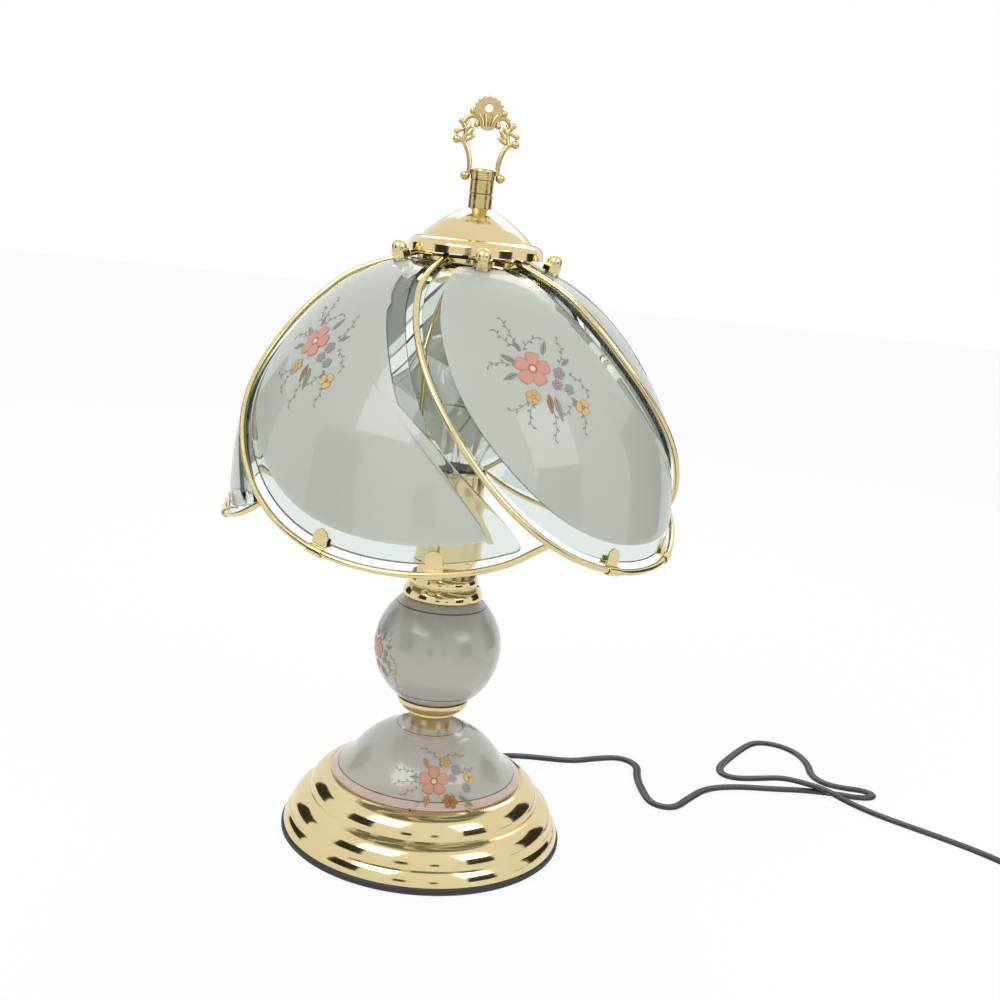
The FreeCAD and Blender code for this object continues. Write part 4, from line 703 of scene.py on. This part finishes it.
def petalMesh():
    rim = petalChart()
    centre = rim.mean(axis=0)
    rimOnGlass = onGlass(rim, outerTable)
    trial = np.linspace(0, 0.6, 121)
    spots = onGlass(rim[:, None, :] + trial[None, :, None] * (centre - rim)[:, None, :], outerTable)
    width = np.array([[np.min(np.linalg.norm(rimOnGlass - spot, axis=1)) for spot in row] for row in spots])
    border = np.array([np.interp(petalSet["border"], np.maximum.accumulate(row), trial) for row in width])
    border = (np.roll(border, 1) + border * 2 + np.roll(border, -1)) / 4
    shares = [border * k / 4 for k in range(5)]
    shares += [border + (1 - border) * k / petalSet["rings"] for k in range(1, petalSet["rings"])]
    count = petalSet["spokes"]
    points = []
    for table, bevel in ((outerTable, petalSet["bevel"]), (innerTable, 0.0)):
        for k, share in enumerate(shares):
            chart = rim + share[:, None] * (centre - rim)
            points.append(onGlass(chart, table, bevel * max(0.0, 1 - k / 4)))
        points.append(onGlass(centre[None, :], table))
    points = np.vstack(points) * mm
    faces = []
    finish = []
    size = len(shares) * count + 1
    for layer in (0, 1):
        base = layer * size
        for k in range(len(shares) - 1):
            for j in range(count):
                a = base + k * count + j
                b = base + k * count + (j + 1) % count
                quad = (a, b, b + count, a + count)
                faces.append(quad if layer == 0 else quad[::-1])
                finish.append(0 if k < 4 else 1)
        hub = base + size - 1
        last = base + (len(shares) - 1) * count
        for j in range(count):
            tri = (last + j, last + (j + 1) % count, hub)
            faces.append(tri if layer == 0 else tri[::-1])
            finish.append(1)
    for j in range(count):
        faces.append((j, size + j, size + (j + 1) % count, (j + 1) % count))
        finish.append(2)
    mesh = bpy.data.meshes.new("petalGlass")
    mesh.from_pydata(points.tolist(), [], faces)
    for key in ("border", "frosted", "edge"):
        mesh.materials.append(finishes[key])
    mesh.polygons.foreach_set("material_index", finish)
    return mesh


def turnedCopy(mesh, name, degrees):
    copy = mesh.copy()
    copy.name = name
    copy.transform(Matrix.Rotation(math.radians(degrees), 4, "Z"))
    return addPiece(name, copy)


firstPetal = addPiece("petalBlank", petalMesh())
studSpot = domePoints([(0.0, 0.0)])[0]
fall = np.interp(petalSet["studRadius"], section[:, 0], section[:, 1])
slope = np.interp(petalSet["studRadius"] + 0.5, section[:, 0], section[:, 1]) - np.interp(
    petalSet["studRadius"] - 0.5, section[:, 0], section[:, 1])
lean = math.atan(-slope)
nutTurn = math.radians(petalSet["nut"])
bore = bpy.data.meshes.new("studBore")
work = bmesh.new()
bmesh.ops.create_cone(work, cap_ends=True, segments=32, radius1=petalSet["studBore"] * mm,
                      radius2=petalSet["studBore"] * mm, depth=0.03)
work.to_mesh(bore)
work.free()
aim = Vector((math.sin(lean) * math.sin(nutTurn), -math.sin(lean) * math.cos(nutTurn), math.cos(lean)))
seat = Vector((petalSet["studRadius"] * math.sin(nutTurn), -petalSet["studRadius"] * math.cos(nutTurn), fall)) * mm
bore.transform(Matrix.Translation(seat) @ aim.to_track_quat("Z", "Y").to_matrix().to_4x4())
boreObject = addPiece("studBore", bore)
drill = firstPetal.modifiers.new("studBore", "BOOLEAN")
drill.operation = "DIFFERENCE"
drill.solver = "EXACT"
drill.object = boreObject
bpy.context.view_layer.update()
petalBlank = bpy.data.meshes.new_from_object(firstPetal.evaluated_get(bpy.context.evaluated_depsgraph_get()))
bpy.data.objects.remove(firstPetal)
bpy.data.objects.remove(boreObject)
work = bmesh.new()
work.from_mesh(petalBlank)
bmesh.ops.recalc_face_normals(work, faces=work.faces)
for face in work.faces:
    face.smooth = True
for edge in work.edges:
    if len(edge.link_faces) == 2:
        one, other = edge.link_faces
        edge.smooth = one.material_index == other.material_index and one.normal.angle(other.normal, 0) < 0.5
work.to_mesh(petalBlank)
work.free()
for k in range(petalSet["count"]):
    pane = turnedCopy(petalBlank, f"petalPane{k + 1}", 72.0 * k)
    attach(pane, "shade")
    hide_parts(f"glass_petal_{k + 1}")
print("lamp: petals are cut,", len(petalBlank.polygons), "faces each")


# ---- printed sprays: flowers and leaves as thin films on the glaze, sprigs from a node tree
printSet = {
    "lift": 0.12,          # film over the surface, mm
    "inks": {              # petal, edge, heart, ring round the heart
        "salmon": ("C9917F", "B27A6B", "DCC4B2", "8C4B42"),
        "orange": ("C39274", "A4705A", "D6BE8A", "86543A"),
        "amber": ("C7A06A", "96683B", "D6BA84", "74472A"),
        "gold": ("CDB173", "9A783E", "B68848", "6B4C28"),
        "brown": ("A3753F", "7A5226", "8A5B2C", "57391D"),
        "mauve": ("9B8B91", "6E5F67", "BDB0AC", "53444B"),
        "grey": ("8E9495", "656B6F", "B2B6B2", "4D5357"),
        "olive": ("99A092", "5B6053", "7C8474", "4C5146"),
    },
    "sprigInk": "868A80",
    "leafSpacing": 2.3,
    "leafLength": 2.0,
    "stemWidth": 0.22,
    "seed": 4,
}
petalSpray = {
    "flowers": [(0, 0, 8.0, 5, 12, "salmon"), (-1.4, -12.8, 3.4, 5, 0, "amber"), (22, -15.5, 3.8, 3, 60, "gold"),
                (12, -1, 2.8, 5, 0, "mauve"), (10.5, -6.4, 2.5, 5, 20, "mauve"), (16, -8, 2.5, 5, 40, "grey")],
    "leaves": [(5.5, 7, 8, 2.4, 72, "olive"), (-7, 3, 7, 2.6, 152, "olive"), (-7, -2.5, 7, 2.6, 205, "olive"),
               (5.6, -11, 9, 2.8, -84, "brown"), (8.4, -12, 11, 2.8, -76, "olive"), (14, 3, 6, 2.0, 42, "olive"),
               (-4, 8, 6, 2.0, 118, "mauve"), (17, -12, 6, 2.2, -50, "olive")],
    "sprigs": [[(-5, 8), (-7, 16), (-10, 25)], [(-3, 9), (0, 14), (5, 16)], [(13, 4), (17, 10), (14, 16)],
               [(17, -1), (23, -2), (26, -9)], [(-4, -15), (-8, -19), (-12, -19)], [(-2, -16), (-5, -21), (-3, -26)],
               [(-8, 1), (-13, 4), (-19, 1)], [(18, -12), (15, -18), (11, -21)], [(7, -18), (9, -24), (7, -31)],
               [(-6, 10), (-11, 13), (-14, 19)], [(22, -19), (23, -23), (22, -27)]],
}
domeSpray = {
    "flowers": [(0, 0, 8.2, 5, 90, "orange"), (8.8, -11, 4.4, 6, 0, "brown"), (6.2, 11.5, 3.2, 5, 0, "amber"),
                (12.5, 7.5, 3.0, 5, 0, "grey"), (21, 4.5, 3.6, 3, 80, "gold"), (19.5, -2, 3.0, 5, 30, "grey"),
                (10.5, 2.5, 2.6, 5, 0, "mauve")],
    "leaves": [(-3, 7, 7, 3.0, 112, "amber"), (-3, -8, 7, 3.0, -106, "amber"), (14, -7, 11, 3.0, -35, "olive"),
               (17, -12, 9, 2.8, -40, "gold"), (3, 8, 7, 2.4, 60, "olive"), (-8, 2, 6, 2.2, 170, "olive")],
    "sprigs": [[(-7, 3), (-14, 7), (-21, 8)], [(-7, -1), (-14, 1), (-22, 0)], [(3, 12), (0, 17), (-6, 20)],
               [(6, 14), (11, 18), (17, 17)], [(-4, -9), (-8, -13), (-12, -16)], [(14, 5), (18, 9), (23, 10)],
               [(-9, -4), (-14, -5), (-18, -8)]],
}


def sprigNodes():
    tree = bpy.data.node_groups.new("sprigLeaves", "GeometryNodeTree")
    tree.interface.new_socket("Stems", in_out="INPUT", socket_type="NodeSocketGeometry")
    for name in ("Leaf spacing", "Leaf length", "Stem width"):
        tree.interface.new_socket(name, in_out="INPUT", socket_type="NodeSocketFloat")
    tree.interface.new_socket("Seed", in_out="INPUT", socket_type="NodeSocketInt")
    tree.interface.new_socket("Finish", in_out="INPUT", socket_type="NodeSocketMaterial")
    tree.interface.new_socket("Sprigs", in_out="OUTPUT", socket_type="NodeSocketGeometry")
    given = put(tree, "NodeGroupInput").outputs
    marks = put(tree, "GeometryNodeResampleCurve", {"mode": "LENGTH"},
                {"Curve": given["Stems"], "Length": given["Leaf spacing"]})
    along = put(tree, "GeometryNodeInputTangent")
    facing = put(tree, "FunctionNodeAlignRotationToVector", {"axis": "X"}, {"Vector": along.outputs[0]})
    number = put(tree, "GeometryNodeInputIndex")
    odd = put(tree, "ShaderNodeMath", {"operation": "MODULO"}, {0: number.outputs[0], 1: 2.0})
    side = put(tree, "ShaderNodeMath", {"operation": "MULTIPLY_ADD"}, {0: odd.outputs[0], 1: 1.9, 2: -0.95})
    chance = put(tree, "FunctionNodeRandomValue", {"data_type": "FLOAT"},
                 {2: -0.3, 3: 0.3, "Seed": given["Seed"]})
    spread = put(tree, "ShaderNodeMath", {"operation": "ADD"}, {0: side.outputs[0], 1: chance.outputs[1]})
    tip = put(tree, "FunctionNodeAxisAngleToRotation", None, {"Axis": (0, 0, 1), "Angle": spread.outputs[0]})
    turned = put(tree, "FunctionNodeRotateRotation", {"rotation_space": "LOCAL"},
                 {"Rotation": facing.outputs[0], "Rotate By": tip.outputs[0]})
    blade = put(tree, "GeometryNodeMeshCircle", {"fill_type": "NGON"}, {"Vertices": 8, "Radius": 0.5})
    size = put(tree, "ShaderNodeCombineXYZ", None, {0: given["Leaf length"], 2: 1.0})
    slim = put(tree, "ShaderNodeMath", {"operation": "MULTIPLY"}, {0: given["Leaf length"], 1: 0.42})
    tree.links.new(slim.outputs[0], size.inputs[1])
    half = put(tree, "ShaderNodeMath", {"operation": "MULTIPLY"}, {0: given["Leaf length"], 1: 0.5})
    out = put(tree, "ShaderNodeCombineXYZ", None, {0: half.outputs[0]})
    blade = put(tree, "GeometryNodeTransform", None,
                {"Geometry": blade.outputs[0], "Scale": size.outputs[0], "Translation": out.outputs[0]})
    leaves = put(tree, "GeometryNodeInstanceOnPoints", None,
                 {"Points": marks.outputs[0], "Instance": blade.outputs[0], "Rotation": turned.outputs[0]})
    thin = put(tree, "ShaderNodeMath", {"operation": "MULTIPLY"}, {0: given["Stem width"], 1: 0.5})
    section = put(tree, "GeometryNodeCurvePrimitiveCircle", None, {"Resolution": 4, "Radius": thin.outputs[0]})
    stems = put(tree, "GeometryNodeCurveToMesh", None, {"Curve": marks.outputs[0], "Profile Curve": section.outputs[0]})
    both = put(tree, "GeometryNodeJoinGeometry")
    tree.links.new(leaves.outputs[0], both.inputs[0])
    tree.links.new(stems.outputs[0], both.inputs[0])
    real = put(tree, "GeometryNodeRealizeInstances", None, {"Geometry": both.outputs[0]})
    inked = put(tree, "GeometryNodeSetMaterial", None, {"Geometry": real.outputs[0], "Material": given["Finish"]})
    put(tree, "NodeGroupOutput", None, {0: inked.outputs[0]})
    return tree


def addFlower(sheet, x, y, radius, petals, turnBy, inks, layer):
    bands = ((0.13, "heart"), (0.2, "ring"), (0.3, "petal"), (0.5, "petal"), (0.7, "petal"), (0.9, "petal"),
             (1.0, "edge"))
    count = petals * 8
    first = len(sheet["points"])
    sheet["points"].append((x, y, layer))
    sheet["colours"].append(tint(inks[2]))
    for share, part in bands:
        for j in range(count):
            angle = 2 * math.pi * j / count
            wave = abs(math.cos(petals * angle / 2))
            reach = radius * share * (0.64 + 0.36 * min(1.0, wave * 1.5) if share > 0.3 else 1.0)
            turned = angle + math.radians(turnBy)
            sheet["points"].append((x + reach * math.cos(turned), y + reach * math.sin(turned), layer))
            code = {"heart": inks[2], "ring": inks[3], "petal": inks[0], "edge": inks[1]}[part]
            if part == "petal" and wave < 0.25:
                code = inks[1]
            sheet["colours"].append(tint(code))
    for j in range(count):
        sheet["faces"].append((first, first + 1 + j, first + 1 + (j + 1) % count))
    for k in range(len(bands) - 1):
        for j in range(count):
            a = first + 1 + k * count + j
            b = first + 1 + k * count + (j + 1) % count
            sheet["faces"].append((a, a + count, b + count, b))


def addLeaf(sheet, x, y, length, width, turnBy, inks, layer):
    first = len(sheet["points"])
    turned = math.radians(turnBy)
    rows, across = 9, (-1.0, -0.6, 0.0, 0.6, 1.0)
    for k in range(rows):
        share = k / (rows - 1)
        half = width / 2 * math.sin(math.pi * share ** 0.8) + 0.02
        for side in across:
            a, b = share * length, side * half
            sheet["points"].append((x + a * math.cos(turned) - b * math.sin(turned),
                                    y + a * math.sin(turned) + b * math.cos(turned), layer))
            sheet["colours"].append(tint(inks[1] if abs(side) in (0.0, 1.0) else inks[0]))
    for k in range(rows - 1):
        for j in range(len(across) - 1):
            a = first + k * len(across) + j
            sheet["faces"].append((a, a + len(across), a + len(across) + 1, a + 1))


def spraySheet(spray, tree):
    sheet = {"points": [], "faces": [], "colours": []}
    stems = bpy.data.curves.new("sprigStems", "CURVE")
    stems.dimensions = "3D"
    for marks in spray["sprigs"]:
        stem = stems.splines.new("NURBS")
        stem.points.add(len(marks) - 1)
        for point, (x, y) in zip(stem.points, marks):
            point.co = (x * mm, y * mm, 0, 1)
        stem.order_u = 3
        stem.use_endpoint_u = True
    holder = addPiece("sprigStems", stems)
    grow = holder.modifiers.new("sprigs", "NODES")
    grow.node_group = tree
    values = {"Leaf spacing": printSet["leafSpacing"] * mm, "Leaf length": printSet["leafLength"] * mm,
              "Stem width": printSet["stemWidth"] * mm, "Seed": printSet["seed"], "Finish": finishes["ink"]}
    for socket in tree.interface.items_tree:
        if socket.in_out == "INPUT" and socket.name in values:
            grow[socket.identifier] = values[socket.name]
    bpy.context.view_layer.update()
    flat = bpy.data.meshes.new_from_object(holder.evaluated_get(bpy.context.evaluated_depsgraph_get()))
    for vertex in flat.vertices:
        sheet["points"].append((vertex.co.x / mm, vertex.co.y / mm, 0.3 * vertex.co.z / mm))
        sheet["colours"].append(tint(printSet["sprigInk"]))
    for face in flat.polygons:
        sheet["faces"].append(tuple(face.vertices))
    bpy.data.objects.remove(holder)
    bpy.data.meshes.remove(flat)
    layer = 0.02
    for x, y, length, width, turnBy, ink in spray["leaves"]:
        addLeaf(sheet, x, y, length, width, turnBy, printSet["inks"][ink], layer)
        layer += 0.008
    for x, y, radius, petals, turnBy, ink in reversed(spray["flowers"]):
        addFlower(sheet, x, y, radius, petals, turnBy, printSet["inks"][ink], layer)
        layer += 0.012
    return sheet


def surfaceOf(mesh):
    return BVHTree.FromPolygons([v.co.copy() for v in mesh.vertices], [tuple(p.vertices) for p in mesh.polygons])


def layPrint(name, sheet, surface, focusHeight, azimuth, radius, height, size, turns, body):
    # lays a flat spray on a surface along rays from a point of the axis, and repeats it round the axis
    eyePoint = Vector((0, 0, focusHeight * mm))
    spot = Vector((radius * math.sin(math.radians(azimuth)), -radius * math.cos(math.radians(azimuth)), height)) * mm
    outward = spot - eyePoint
    reach = outward.length
    outward.normalize()
    over = (Vector((0, 0, 1)) - outward * outward.z).normalized()
    side = over.cross(outward)
    laid = []
    for x, y, z in sheet["points"]:
        heading = (outward * reach + side * (x * size * mm) + over * (y * size * mm)).normalized()
        hit, normal, index, far = surface.ray_cast(eyePoint + heading * 0.4, -heading)
        if hit is None:
            hit, normal = eyePoint + heading * reach, heading
        laid.append(hit + normal * ((printSet["lift"] + z) * mm))
    points, faces, colours = [], [], []
    for degrees in turns:
        spin = Matrix.Rotation(math.radians(degrees), 3, "Z")
        base = len(points)
        points += [spin @ p for p in laid]
        faces += [tuple(base + k for k in face) for face in sheet["faces"]]
        colours += sheet["colours"]
    mesh = bpy.data.meshes.new(name)
    mesh.from_pydata(points, [], faces)
    ink = mesh.attributes.new("printColour", "FLOAT_COLOR", "POINT")
    ink.data.foreach_set("color", [c for colour in colours for c in colour])
    mesh.materials.append(finishes["ink"])
    for polygon in mesh.polygons:
        polygon.use_smooth = True
    piece = addPiece(name, mesh)
    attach(piece, body)
    return piece


sprigs = sprigNodes()
petalSheet = spraySheet(petalSpray, sprigs)
domeSheet = spraySheet(domeSpray, sprigs)
layPrint("petalPrints", petalSheet, surfaceOf(petalBlank), 202.0, 20.0, 81.0, 258.0, 1.0,
         [72.0 * k for k in range(5)], "shade")
layPrint("domePrints", domeSheet, surfaceOf(nodes["base_dome"].data), 6.0, 7.0, 42.0, 47.5, 1.0,
         [0.0, 180.0], "base")
layPrint("ballPrints", petalSheet, surfaceOf(nodes["ceramic_ball"].data), 104.8, -66.0, 33.4, 104.8, 0.72,
         [0.0, 180.0], "base")
print("lamp: prints are fired on")
